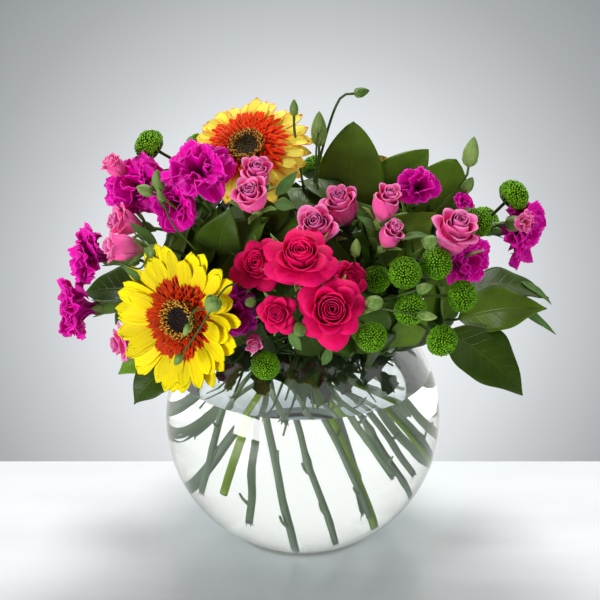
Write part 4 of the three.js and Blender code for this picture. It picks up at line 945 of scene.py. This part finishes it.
# Each spray is one stem: its fork, how high its cut end stands or where it is, the blooms that it carries,
# its own button heads, its closed buds as (middle, look, length, width), and its leaves.
sprays = {
    "gerbera_yellow_stem": dict(kind="gerbera", carries=["gerbera_yellow"], fork=(-44, -42, 198)),
    "gerbera_upper_stem": dict(kind="gerbera", carries=["gerbera_upper"], fork=(-20, -6, 240), end_height=28),
    "gerbera_back_stem": dict(
        kind="gerbera", carries=["gerbera_back"], fork=(32, 24, 212), end=(-50, -50, 58)),
    "roses_hot_left_stem": dict(
        kind="rose", carries=["rose_hot_1", "rose_hot_2", "rose_hot_3"], fork=(-10, -46, 212), end_height=50,
        buds=[((-35, -106, 219), (-20, 10), 11, 7)]),
    "roses_hot_right_stem": dict(
        kind="rose", carries=["rose_hot_4", "rose_hot_5"], fork=(20, -48, 206), end_height=60,
        buds=[((-2, -118, 204), (0, -10), 12, 9), ((35, -80, 248), (10, 70), 15, 7)]),
    "roses_pink_middle_stem": dict(
        kind="rose", carries=["rose_pink_1", "rose_pink_2", "rose_pink_3", "rose_pink_4"],
        fork=(-6, -34, 240), end_height=34,
        leaves=[leaf((-58, -46, 226), (-48, -66, 272), (-10, 20), 34, tip=1.3, tone=0.35)]),
    "roses_pink_right_stem": dict(
        kind="rose", carries=["rose_pink_5", "rose_pink_6", "rose_pink_7"],
        fork=(46, -38, 226), end_height=46),
    "roses_pink_left_stem": dict(
        kind="rose", carries=["rose_pink_8", "rose_pink_9", "rose_pink_10"],
        fork=(-72, -26, 206), end_height=66),
    "carnations_left_stem": dict(
        kind="carnation", carries=["carnation_1", "carnation_2", "carnation_3"],
        fork=(-52, -16, 238), end_height=44,
        buds=[((-97, -54, 286), (-10, 75), 18, 9), ((-106, -58, 281), (-60, 30), 13, 8)]),
    "carnations_low_left_stem": dict(
        kind="carnation", carries=["carnation_4", "carnation_5", "carnation_6"],
        fork=(-54, -52, 184), end_height=70),
    "carnations_right_stem": dict(
        kind="carnation", carries=["carnation_7", "carnation_8", "carnation_9"],
        fork=(66, -22, 222), end_height=52,
        buds=[((114, -32, 300), (20, 72), 24, 11), ((113, -30, 276), (50, 60), 13, 8),
              ((145, -42, 252), (40, 18), 16, 11)]),
    "carnations_back_stem": dict(
        kind="carnation", carries=["carnation_back"], fork=(-26, 30, 226), end=(20, -38, 21),
        leaves=[leaf((-20, 60, 240), (-14, 92, 284), (180, 30), 24)]),
    "buds_top_stem": dict(
        kind="carnation", fork=(4, -12, 262), end_height=30,
        buds=[((40, -8, 335), (90, 12), 11, 7), ((11, -18, 312), (0, 80), 26, 11),
              ((-6, -26, 329), (0, 85), 12, 6)]),
    "buttons_right_stem": dict(
        kind="button", fork=(44, -44, 200), end_height=62,
        heads=[button((67, -94, 235), (14, 30), 11.5), button((88, -82, 237), (35, 35), 11.5),
               button((105, -84, 215), (45, 15), 11.5), button((70, -104, 214), (20, 2), 11.5),
               button((92, -92, 187), (30, -5), 11.5)]),
    "buttons_middle_stem": dict(
        kind="button", fork=(22, -58, 186), end_height=78,
        heads=[button((49, -70, 222), (15, 20), 10), button((45, -104, 194), (12, 0), 11),
               button((-25, -86, 166), (-15, 0), 10.5)],
        leaves=[leaf((8, -44, 170), (12, -70, 128), (4, 30), 30, lobes=3, bend=1),
                leaf((30, -36, 164), (64, -46, 128), (34, 34), 28, lobes=3, bend=1)]),
    "buttons_left_stem": dict(
        kind="button", fork=(-46, 8, 234), end_height=36,
        heads=[button((-105, 3, 293), (-92, 34), 12), button((-72, 8, 290), (-60, 50), 11)]),
    "buttons_far_right_stem": dict(
        kind="button", fork=(70, 4, 220), end_height=44,
        heads=[button((144, -18, 263), (92, 42), 12), button((119, -38, 251), (40, 30), 10.5),
               button((130, 36, 226), (110, 30), 12)]),
    "buttons_back_stem": dict(
        kind="button", fork=(6, 52, 214), end=(-62, -30, 52),
        heads=[button((10, 98, 246), (172, 45), 12), button((-26, 110, 234), (192, 20), 12)]),
    "leaves_top": dict(
        kind="leafy", fork=(24, 6, 240), end_height=24,
        # The high leaves' tone of 0.9 paints their green lighter: painted light on leaves that stand in
        # shade.
        leaves=[leaf((32, -10, 244), (35, 0, 312), (0, 10), 46, bend=-4, fold=0.1, tone=0.9, tip=0.8),
                leaf((48, 2, 248), (88, 10, 289), (8, 30), 36, tone=0.9, tip=0.9),
                leaf((14, 30, 222), (6, 66, 245), (180, 20), 42)]),
    "leaves_right": dict(
        kind="leafy", fork=(54, -10, 222), end_height=40,
        leaves=[leaf((80, -6, 238), (107, 2, 284), (15, 20), 46, tip=0.7, tone=0.9),
                leaf((55, -34, 226), (91, -36, 258), (15, 40), 34, tone=1.0),
                leaf((92, 26, 220), (126, 58, 232), (70, 55), 38)]),
    "leaves_low_right": dict(
        kind="leafy", fork=(64, -24, 188), end_height=64,
        leaves=[leaf((108, -34, 179), (170, -34, 187), (0, 55), 38, tone=1.3, tip=1.3),
                leaf((98, -52, 176), (152, -66, 135), (30, 35), 44, bend=9, tone=0.2),
                leaf((112, -8, 191), (176, 2, 181), (40, 65), 32, bend=8, tone=0.2),
                leaf((96, 34, 186), (146, 62, 142), (115, 45), 40, bend=9)]),
    "leaves_low_left": dict(
        kind="leafy", fork=(-62, -22, 178), end_height=74,
        leaves=[leaf((-98, -30, 152), (-130, -36, 138), (-35, 40), 26, bright=True),
                leaf((-85, -56, 156), (-117, -66, 128), (-30, 35), 32, bend=8),
                leaf((-108, -12, 190), (-156, -8, 188), (-20, 55), 36, tone=0.1),
                leaf((-92, 34, 186), (-140, 54, 140), (-120, 45), 40, bend=9)]),
    "leaves_back_left": dict(
        kind="leafy", fork=(-34, 44, 200), end=(-4, -34, 13),
        leaves=[leaf((-66, 66, 210), (-112, 96, 226), (215, 60), 40),
                leaf((-46, 84, 188), (-70, 124, 148), (205, 40), 40, bend=9),
                leaf((-70, 30, 236), (-112, 44, 262), (235, 30), 36)]),
    "leaves_back_right": dict(
        kind="leafy", fork=(40, 46, 198), end=(-33, -45, 38),
        leaves=[leaf((76, 72, 206), (120, 100, 216), (140, 60), 40),
                leaf((44, 84, 186), (62, 126, 144), (155, 40), 40, bend=9),
                leaf((0, 84, 196), (-6, 128, 174), (182, 55), 36, bend=7)]),
}

# ---------------------------------------------------------------- flowers


def make_bloom(name, one):
    """The pieces of one bloom: petals for a rose or a carnation, and rays, ring and disc for a gerbera."""
    rng = random.Random(name)
    place = frame_at(Vector(one["at"]), look_of(*one["look"]), chance(one["radius"] + one["at"][0]) * 2)
    kind, radius = one["kind"], one["radius"]
    bm = new_mesh()
    if kind == "gerbera":
        is_front = name == "gerbera_yellow"
        rays, florets, disc = (
            (yellow_rays, red_florets, dark_disc) if is_front else (golden_rays, bright_florets, olive_disc))
        gerbera_rays(bm, place, radius, one.get("lift", -3), rng)
        finished(bm, name + "_petals", [rays], [name + "_rays"], "gerbera_petals", PETAL_THICKNESS)
        middle = radius * one.get("ring", 1)
        bm = new_mesh()
        gerbera_ring(bm, place, middle, rng)
        finished(bm, name + "_florets", [florets, gold_florets], [name + "_ring"], "gerbera_florets")
        bm = new_mesh()
        gerbera_disc(bm, place, middle, rng)
        stands_for = name + ("_ring" if name == "gerbera_back" else "_disc")
        finished(bm, name + "_middle", [disc], [stands_for], "gerbera_florets")
    elif kind == "rose":
        is_hot = "hot" in name
        rose(bm, place, radius, one["openness"], rng, 0 if is_hot else 1)
        finished(bm, name + "_petals", [hot_petals] if is_hot else [pink_petals, heart_petals], [name],
                 "hot_pink_petals" if is_hot else "pink_petals", PETAL_THICKNESS)
    else:
        carnation(bm, place, radius, rng, one.get("petals", CARNATION_PETALS))
        petals = violet_petals if name == "carnation_6" else magenta_petals
        finished(bm, name + "_petals", [petals], [name], "carnation_petals", PETAL_THICKNESS)


for name, one in blooms.items():
    make_bloom(name, one)

# Half-open buds: the solid that each belongs to, its kind, place, look and radius, its petals and their slot.
half_open_buds = [
    ("carnations_right_stem", "carnation", (150, -48, 255), (40, 18), 8.5, pink_petals, "carnation_petals"),
    ("carnations_right_stem", "carnation", (109, -40, 267), (10, 50), 7.5, magenta_petals,
     "carnation_petals"),
    ("rose_pink_9", "rose", (-130, -20, 287), (-55, 50), 10, pink_petals, "pink_petals"),
    ("roses_hot_left_stem", "rose", (-33, -94, 185), (0, -10), 8, pink_petals, "pink_petals"),
]
for number, (stands_for, kind, at, look, radius, petals, slot) in enumerate(half_open_buds, 1):
    bm = new_mesh()
    place = frame_at(Vector(at), look_of(*look))
    if kind == "rose":
        rose(bm, place, radius, 0.2, random.Random(number))
    else:
        carnation(bm, place, radius, random.Random(number), 12)
    finished(bm, f"half_open_bud_{number}", [petals], [stands_for], slot, PETAL_THICKNESS)


# ---------------------------------------------------------------- stems and leaves


def make_spray(name, plan):
    """The pieces of one spray: its stem with stalks, cups and buds, its button heads and its leaves."""
    rng = random.Random(name)
    kind = plan["kind"]
    heads = [blooms[one] for one in plan.get("carries", [])] + plan.get("heads", [])
    leaves = plan.get("leaves", [])
    fork = Vector(plan["fork"])
    line = main_line(fork, plan.get("end_height", 40), plan.get("end"))
    used = 0

    def next_root():
        nonlocal used
        used += 1
        return line[1].lerp(fork, ROOT_SHARES[0] + ROOT_SHARES[1] * (used - 1))

    bm = new_mesh()
    if len(heads) == 1 and not leaves:
        head_stalk(bm, heads[0], line, STEM_RADIUS[kind], rng, 48)
    else:
        stem(bm, line, STEM_RADIUS[kind], kind, rng)
        for head in heads:
            head_stalk(bm, head, [next_root()], BRANCH_RADIUS, rng, 18)
    for at, look, length, width in plan.get("buds", []):
        bud(bm, next_root(), at, look, length, width, rng)
    for one in leaves:
        base = Vector(one["start"])
        inward = (Vector(one["end"]) - base).normalized()
        rod(bm, [next_root(), base - inward * 9, base + inward * 4],
            lambda s: BRANCH_RADIUS * mix(1, 0.8, s), 8, 14, tone=rng.random())
    wood = gerbera_stem if kind == "gerbera" else stem_green
    finished(bm, name + "_greens", [wood, pale_green], [name], "stems")

    if any(head["kind"] == "button" for head in heads):
        bm = new_mesh()
        for head in heads:
            place = frame_at(Vector(head["at"]), look_of(*head["look"]))
            button_head(bm, place, head["radius"], rng)
        finished(bm, name + "_flowers", [lime_florets], [name], "green_blooms")
    if leaves:
        bm = new_mesh()
        for one in leaves:
            finish = BRIGHT if one.get("bright") else LOBED if one.get("lobes") else 0
            more = {key: one[key] for key in ("bend", "fold", "lobes", "tip", "curl", "tone") if key in one}
            leaf_blade(bm, one["start"], one["end"], one["look"], one["width"], rng, finish=finish, **more)
        finished(bm, name + "_blades", [leaf_top, leaf_back, bright_leaf, leaf_back, painted_shade_leaf, painted_shade_leaf],
                 [name], "leaves", LEAF_THICKNESS, backed=True)


for name, plan in sprays.items():
    make_spray(name, plan)

# Inner foliage that backs the blooms: for each spray how many leaves, and which azimuths and elevations.
inner_foliage = {
    "leaves_top": (9, (-45, 60), (38, 78)),
    "leaves_right": (10, (30, 110), (12, 52)),
    "leaves_low_right": (8, (10, 100), (-14, 14)),
    "leaves_low_left": (9, (-110, -25), (-14, 22)),
    "roses_pink_middle_stem": (12, (-50, 36), (6, 46)),
    "carnations_left_stem": (9, (-115, -40), (22, 62)),
    "leaves_back_left": (11, (-182, -100), (-4, 62)),
    "leaves_back_right": (11, (100, 178), (-4, 62)),
    "buttons_middle_stem": (16, (-80, 84), (-16, 4)),
    "roses_pink_left_stem": (11, (-118, -52), (-2, 32)),
    "buttons_right_stem": (11, (14, 76), (-8, 22)),
}
DOME_MIDDLE = Vector((0, -8, 194))
DOME_REACH = Vector((146, 102, 112))


def make_inner_foliage(name, count, azimuths, elevations):
    """Dark leaves like shingles on a dome inside the blooms, each on a twig from its spray's fork."""
    rng = random.Random("inner " + name)
    blades, twigs = new_mesh(), new_mesh()
    fork = Vector(sprays[name]["fork"])
    for k in range(count):
        azimuth = mix(*azimuths, (k + 0.5) / count) + rng.uniform(-6, 6)
        elevation = mix(*elevations, (k * 0.618) % 1) + rng.uniform(-4, 4)
        out = look_of(azimuth, elevation)
        middle = DOME_MIDDLE + Vector([a * b for a, b in zip(out, DOME_REACH)]) * rng.uniform(0.56, 0.70)
        level = Vector((-out.y, out.x, 0)).normalized()
        way = (Matrix.Rotation(math.radians(rng.uniform(-65, 65)), 3, out) @ out.cross(level)).normalized()
        way = (way + out * rng.uniform(0.1, 0.45)).normalized()
        if way.z < -0.2:
            way = -way
        long = rng.uniform(38, 52)
        start, end = middle - way * long / 2, middle + way * long / 2
        look = (azimuth + rng.uniform(-25, 25), elevation + rng.uniform(-10, 25))
        leaf_blade(blades, start, end, look, rng.uniform(25, 34), rng, bend=rng.uniform(2, 7))
        rod(twigs, [fork, start - way * 6, start + way * 3], lambda s: TWIG_RADIUS, 6, 10, tone=rng.random())
    finished(blades, name + "_inner_blades", [leaf_top, leaf_back], [name], "leaves",
             LEAF_THICKNESS, backed=True)
    finished(twigs, name + "_inner_twigs", [stem_green], [name], "stems")


for name, plan in inner_foliage.items():
    make_inner_foliage(name, *plan)

# Loose twigs that end in a small bud: the spray that they belong to, their line, the bud's length and width.
loose_twigs = [
    ("buttons_right_stem", [(33, -92, 200), (45, -116, 222), (47, -117, 223)], 12, 10.5),
    ("buttons_right_stem", [(41, -104, 216), (60, -117, 217), (81, -118, 214)], 13, 6.5),
    ("buttons_right_stem", [(51, -88, 214), (66, -112, 227), (79, -114, 232)], 11, 7.5),
    ("roses_pink_right_stem", [(64, -70, 234), (74, -98, 251), (83, -100, 259)], 11, 9.5),
    ("carnations_low_left_stem", [(-44, -108, 233), (-50, -118, 234), (-59, -120, 223)], 11.5, 11.5),
    ("carnations_low_left_stem", [(-61, -119, 220), (-71, -120, 218), (-76, -120, 205)], 9, 4.5),
    ("carnations_low_left_stem", [(-59, -119, 220), (-70, -120, 202), (-82, -120, 184)], 9, 5.5),
    ("carnations_left_stem", [(-71, -80, 246), (-86, -86, 267), (-94, -74, 282)], 9, 5),
    ("leaves_low_left", [(-124, -70, 234), (-109, -74, 231), (-101, -72, 243)], 10, 8),
    ("leaves_top", [(10, -40, 275), (9, -30, 300), (11, -22, 314)], 8, 4),
]


def make_loose_twig(number, spray, points, length, width):
    """A thin twig whose last point is the middle of the small bud on its end."""
    rng = random.Random(number)
    points = [Vector(p) for p in points]
    way = (points[-1] - points[-2]).normalized()
    foot, tip = points[-1] - way * length * 0.5, points[-1] + way * length * 0.5
    bm = new_mesh()
    rod(bm, [*points[:-1], foot], lambda s: TWIG_RADIUS * 0.75, 8, 14, tone=0.5)
    rod(bm, [foot, points[-1], tip], spindle(width, 0.15, 0.05, 0.94, 0.85, 0.7),
        14, 12, tone=rng.uniform(0.6, 1.0), finish=PALE, bump=lambda s, a: 1 + 0.05 * math.cos(6 * a))
    spots = [(0.4, 0), (width * 0.4, length * 0.12), (width * 0.54, length * 0.42)]
    ring_of_blades(bm, frame_at(foot, way, rng.uniform(0, 6)), 5, spots, width * 0.4, 0.6)
    finished(bm, f"loose_twig_{number}", [stem_green, pale_green], [spray], "stems")


for number, twig in enumerate(loose_twigs, 1):
    make_loose_twig(number, *twig)

# Small loose leaves and long sepals: the spray that they belong to, their ends, their look and their width.
loose_leaves = [
    ("leaves_low_right", (145, -10, 184), (180, -18, 161), (20, 50), 8),
    ("leaves_low_right", (155, 0, 194), (179, -2, 179), (30, 60), 7),
    ("roses_pink_middle_stem", (-18, -82, 285), (-3, -72, 299), (20, 30), 8),
    ("roses_pink_middle_stem", (-19, -84, 280), (-5, -84, 277), (0, 50), 10),
    ("roses_pink_left_stem", (-103, -66, 217), (-122, -70, 231), (-30, 30), 6),
    ("roses_pink_left_stem", (-98, -60, 242), (-117, -60, 259), (-40, 50), 7),
    ("roses_pink_right_stem", (48, -78, 260), (36, -76, 269), (0, 60), 6),
    ("roses_pink_right_stem", (64, -82, 254), (85, -88, 259), (0, 60), 6),
    ("roses_hot_left_stem", (-9, -112, 202), (-1, -108, 185), (-10, 20), 7),
    ("roses_hot_right_stem", (18, -108, 189), (13, -104, 173), (10, 20), 7),
]


def make_loose_leaf(number, spray, start, end, look, width):
    """A small narrow leaf, as pale on both sides as the underside of a broad one."""
    rng = random.Random(number * 7)
    bm = new_mesh()
    leaf_blade(bm, start, end, look, width, rng, bend=rng.uniform(1, 3), curl=rng.uniform(0.0, 0.15),
               finish=1, tone=rng.random())
    finished(bm, f"loose_leaf_{number}", [leaf_top, leaf_back], [spray], "leaves", LEAF_THICKNESS)


for number, one in enumerate(loose_leaves, 1):
    make_loose_leaf(number, *one)


def make_neck_greens(name, count, azimuths):
    """Lobed leaves in painted shade, near black, and bare side twigs that hang from the bouquet into the
    vase's neck.
    """
    rng = random.Random("neck " + name)
    blades, twigs = new_mesh(), new_mesh()
    for k in range(count):
        azimuth = mix(*azimuths, (k + rng.uniform(0.2, 0.8)) / count)
        out = look_of(azimuth, 0)
        root = out * rng.uniform(16, 30) + UP * rng.uniform(160, 178)
        height = rng.uniform(128, 146)
        way = look_of(azimuth + rng.uniform(-35, 35), 0)
        end = way * (inside_radius(height) - rng.uniform(8, 22)) + UP * height
        lobes = 3 if k % 3 else 0
        leaf_blade(blades, root.lerp(end, 0.3), end, (azimuth, rng.uniform(20, 50)), rng.uniform(16, 26), rng,
                   bend=2, lobes=lobes, finish=LOBED_IN_NECK if lobes else 0)
        rod(twigs, [root, root.lerp(end, 0.35)], lambda s: TWIG_RADIUS, 6, 4, tone=rng.random())
        for _ in range(2):
            height = rng.uniform(112, 140)
            way = look_of(azimuth + rng.uniform(-60, 60), 0)
            low = way * (inside_radius(height) - rng.uniform(8, 30)) + UP * height
            rod(twigs, [root + UP * 6, root.lerp(low, 0.5) + UP * 4, low],
                lambda s: TWIG_RADIUS * mix(1.3, 0.8, s), 6, 10, tone=rng.random())
    finished(blades, name + "_neck_blades", [leaf_top, leaf_back, painted_shade_leaf, painted_shade_leaf], [name], "leaves",
             LEAF_THICKNESS, backed=True)
    finished(twigs, name + "_neck_twigs", [stem_green], [name], "stems")


make_neck_greens("buttons_middle_stem", 12, (-75, 75))
make_neck_greens("buttons_back_stem", 7, (110, 250))

# ---------------------------------------------------------------- vase and water


def bowl_arc(radius, from_height, to_height, steps):
    """Points on a circle round the bowl's centre from one height to another, as (radius, height)."""
    low, high = (math.asin(clamp((h - CENTRE_HEIGHT) / radius, -1, 1)) for h in (from_height, to_height))
    angles = [mix(low, high, i / steps) for i in range(steps + 1)]
    return [(radius * math.cos(a), CENTRE_HEIGHT + radius * math.sin(a)) for a in angles]


def spun(bm, profile, finish_at):
    """Spins a profile of (radius, height) round +Z. Finish_at gives a face's material from its middle."""
    rims = [bm.verts.new((max(r, 0.0), 0, z)) for r, z in profile]
    edges = [bm.edges.new(pair) for pair in zip(rims, rims[1:])]
    bmesh.ops.spin(bm, geom=rims + edges, cent=(0, 0, 0), axis=(0, 0, 1), dvec=(0, 0, 0),
                   angle=FULL_TURN, steps=BOWL_SIDES, use_merge=True)
    bmesh.ops.remove_doubles(bm, verts=bm.verts, dist=1e-3)
    bmesh.ops.recalc_face_normals(bm, faces=bm.faces)
    for face in bm.faces:
        face.smooth = True
        face.material_index = finish_at(face.calc_center_median(), face.normal)


def make_vase():
    """The bowl as one spun wall: its ground foot, outside, rounded lip, inside and thick base."""
    rim = RIM_HEIGHT - LIP_HEIGHT
    # rows at 0.6 and 1.8 give the ground foot faces of its own
    outside = bowl_arc(BOWL_RADIUS, 0.6, 1.8, 1) + bowl_arc(BOWL_RADIUS, 3, rim, 60)
    inside = bowl_arc(INSIDE_RADIUS, BASE_THICKNESS, rim, 60)
    lip_middle = ((outside[-1][0] + inside[-1][0]) / 2, rim)
    lip = [(lip_middle[0] + LIP_WIDTH * math.cos(a), lip_middle[1] + LIP_HEIGHT * math.sin(a))
           for a in (math.radians(15 + 150 * k / 8) for k in range(9))]
    # the wall's inner side is split exactly at the water's level, where its material changes
    away = [p for p in inside if abs(p[1] - WATER_LEVEL) > 0.8]
    inside = sorted(away + [(inside_radius(WATER_LEVEL), WATER_LEVEL)], key=lambda p: p[1])
    foot = [(0, 1.4), (30, 1.2), (40, 0.5), (BASE_RADIUS - 2.5, 0), (BASE_RADIUS - 0.6, 0.1)]
    floor_of_glass = [(inside[0][0] - 3, BASE_THICKNESS - 0.15), (0, BASE_THICKNESS)]
    bm = new_mesh()

    def finish_at(middle, normal):
        if middle.z < FOOT_HEIGHT and math.hypot(middle.x, middle.y) > FOOT_INSIDE:
            return 2
        towards_centre = Vector((0, 0, CENTRE_HEIGHT)) - middle
        is_wet = BASE_THICKNESS - 0.5 < middle.z < WATER_LEVEL and towards_centre.length < INSIDE_RADIUS + 0.4
        return 1 if is_wet and normal.dot(towards_centre) > 0 else 0

    spun(bm, foot + outside + lip + inside[::-1] + floor_of_glass, finish_at)
    return finished(bm, "glass_vase", [glass, wet_glass, ground_foot], ["vase"], "vase_glass", sharp=40)


def make_water():
    """The water, whose side and floor stay a hair's breadth off the glass. Its top lies open and level."""
    side = bowl_arc(INSIDE_RADIUS - WATER_CLEAR, BASE_THICKNESS + WATER_CLEAR, WATER_LEVEL, 50)
    bm = new_mesh()
    spun(bm, [(0, BASE_THICKNESS + WATER_CLEAR), *side, (0, WATER_LEVEL)],
         lambda middle, normal: 1 if normal.z > 0.9 and middle.z > WATER_LEVEL - 0.1 else 0)
    return finished(bm, "vase_water", [water_side, water_top], ["water"], "water", sharp=40)


make_vase()
make_water()

# ---------------------------------------------------------------- table, backdrop, lamps and camera


def plane(name, size, place, finish):
    """A flat sheet of the given size at its place, one of the things that stand round the object."""
    bm = bmesh.new()
    bmesh.ops.create_grid(bm, x_segments=1, y_segments=1, size=0.5)
    bmesh.ops.scale(bm, vec=(size[0], size[1], 1), verts=bm.verts)
    bmesh.ops.transform(bm, matrix=Matrix.Scale(MM, 4) @ place, verts=bm.verts)
    mesh = bpy.data.meshes.new(name)
    bm.to_mesh(mesh)
    bm.free()
    mesh.materials.append(finish)
    made = bpy.data.objects.new(name, mesh)
    bpy.context.scene.collection.objects.link(made)


def table_paint(tree):
    """White lacquered board with a faint long cloud in it."""
    place = add(tree, "TexCoord", out="Object")
    long = add(tree, "Mapping", {"Vector": place, "Scale": (3, 16, 1)})
    cloud = add(tree, "TexNoise", {"Vector": long, "Scale": 1.0, "Detail": 5.0}, out="Fac")
    return {"Base Color": add(tree, "ValToRGB", {"Fac": cloud}, out="Color",
                              stops=[(0.3, "#E0E3E5"), (0.7, "#EEF0F1")])}


def backdrop_material():
    """
    Grey paper that glows with a painted pool of light, brightest in its middle and darker towards its
    corners.
    Through the glass it shows plain white instead: painted light, as if white card stood close behind it.
    """
    made, tree = empty_material("grey_backdrop_painted_glow")
    place = add(tree, "TexCoord", out="Object")
    centred = add(tree, "Mapping", {"Vector": place, "Location": (0, 0, 0.636), "Scale": (0.789, 0, 0.7566)})
    # painted pool of light: bright in the middle, falling off towards the corners
    painted_falloff = add(tree, "TexGradient", {"Vector": centred}, out="Fac", gradient_type="SPHERICAL")
    shade = add(tree, "ValToRGB", {"Fac": painted_falloff}, out="Color", stops=[
        (0.3, "#969B9E"), (0.425, "#ACB0B3"), (0.555, "#C8CCCF"), (0.65, "#DEE2E5"), (0.8, "#F4F6F8")])
    # every ray but the camera's, as through the glass, sees painted white light instead of the grey
    seen = add(tree, "LightPath", out="Is Camera Ray")
    both = add(tree, "Mix", {"Factor": seen, "A": (1.08, 1.08, 1.05, 1), "B": shade},
               out="Result", data_type="RGBA")
    add(tree, "OutputMaterial", {"Surface": add(tree, "Emission", {"Color": both})})
    return made


TABLE_SIZE = (5200, 1800)
TABLE_BACK = 109  # y of its back edge, which shows as the line behind the vase
BACKDROP_SIZE = (8400, 6400)
BACKDROP_Y = 2600

plane("table", TABLE_SIZE, Matrix.Translation((0, TABLE_BACK - TABLE_SIZE[1] / 2, 0)),
      material("white_table", table_paint, Roughness=0.28, Specular_IOR_Level=0.9))
upright = Matrix.Rotation(math.pi / 2, 4, "X")
plane("backdrop", BACKDROP_SIZE, Matrix.Translation((0, BACKDROP_Y, 0)) @ upright, backdrop_material())


def soft_lamp(name, at, target, size, power, mirrored=True):
    """A softbox that looks at its target. Where it isn't mirrored, nothing glossy shows it."""
    light = bpy.data.lights.new(name, "AREA")
    light.shape = "RECTANGLE"
    light.size, light.size_y = size[0] * MM, size[1] * MM
    light.energy = power
    lamp = bpy.data.objects.new(name, light)
    lamp.location = Vector(at) * MM
    lamp.rotation_euler = (Vector(at) - Vector(target)).to_track_quat("Z", "Y").to_euler()
    lamp.visible_glossy = mirrored
    bpy.context.scene.collection.objects.link(lamp)


LAMP_TARGET = (0, 0, 200)
soft_lamp("key_softbox", (-1500, -1500, 420), LAMP_TARGET, (900, 600), 32)
soft_lamp("fill_softbox", (1700, -1200, 380), LAMP_TARGET, (800, 700), 14, mirrored=False)
soft_lamp("overhead_softbox", (60, 540, 1450), LAMP_TARGET, (560, 440), 18)

world = bpy.data.worlds.new("studio")
bpy.context.scene.world = world
world.use_nodes = True
sky = world.node_tree.nodes["Background"]
# glass and water see white walls round the set, as in a light tent; everything else gets a dim fill from them
in_glass = add(world.node_tree, "LightPath", out="Is Singular Ray")
walls = add(world.node_tree, "Mix", {"Factor": in_glass, "A": "#666B70", "B": "#ECEDE8"},
            out="Result", data_type="RGBA")
world.node_tree.links.new(walls, sky.inputs["Color"])

CAMERA_TARGET = Vector((-2, 0, 180))
CAMERA_DISTANCE = 1400
CAMERA_DROP = 21  # degrees that it looks down
FOCAL_LENGTH = 117.6

lens = bpy.data.cameras.new("camera")
lens.sensor_width = 36
lens.lens = FOCAL_LENGTH
lens.clip_end = 30
camera = bpy.data.objects.new("camera", lens)
back = look_of(0, CAMERA_DROP)
camera.location = (CAMERA_TARGET + back * CAMERA_DISTANCE) * MM
camera.rotation_euler = (-back).to_track_quat("-Z", "Y").to_euler()
bpy.context.scene.collection.objects.link(camera)
bpy.context.scene.camera = camera
bpy.context.scene.view_settings.view_transform = "Standard"
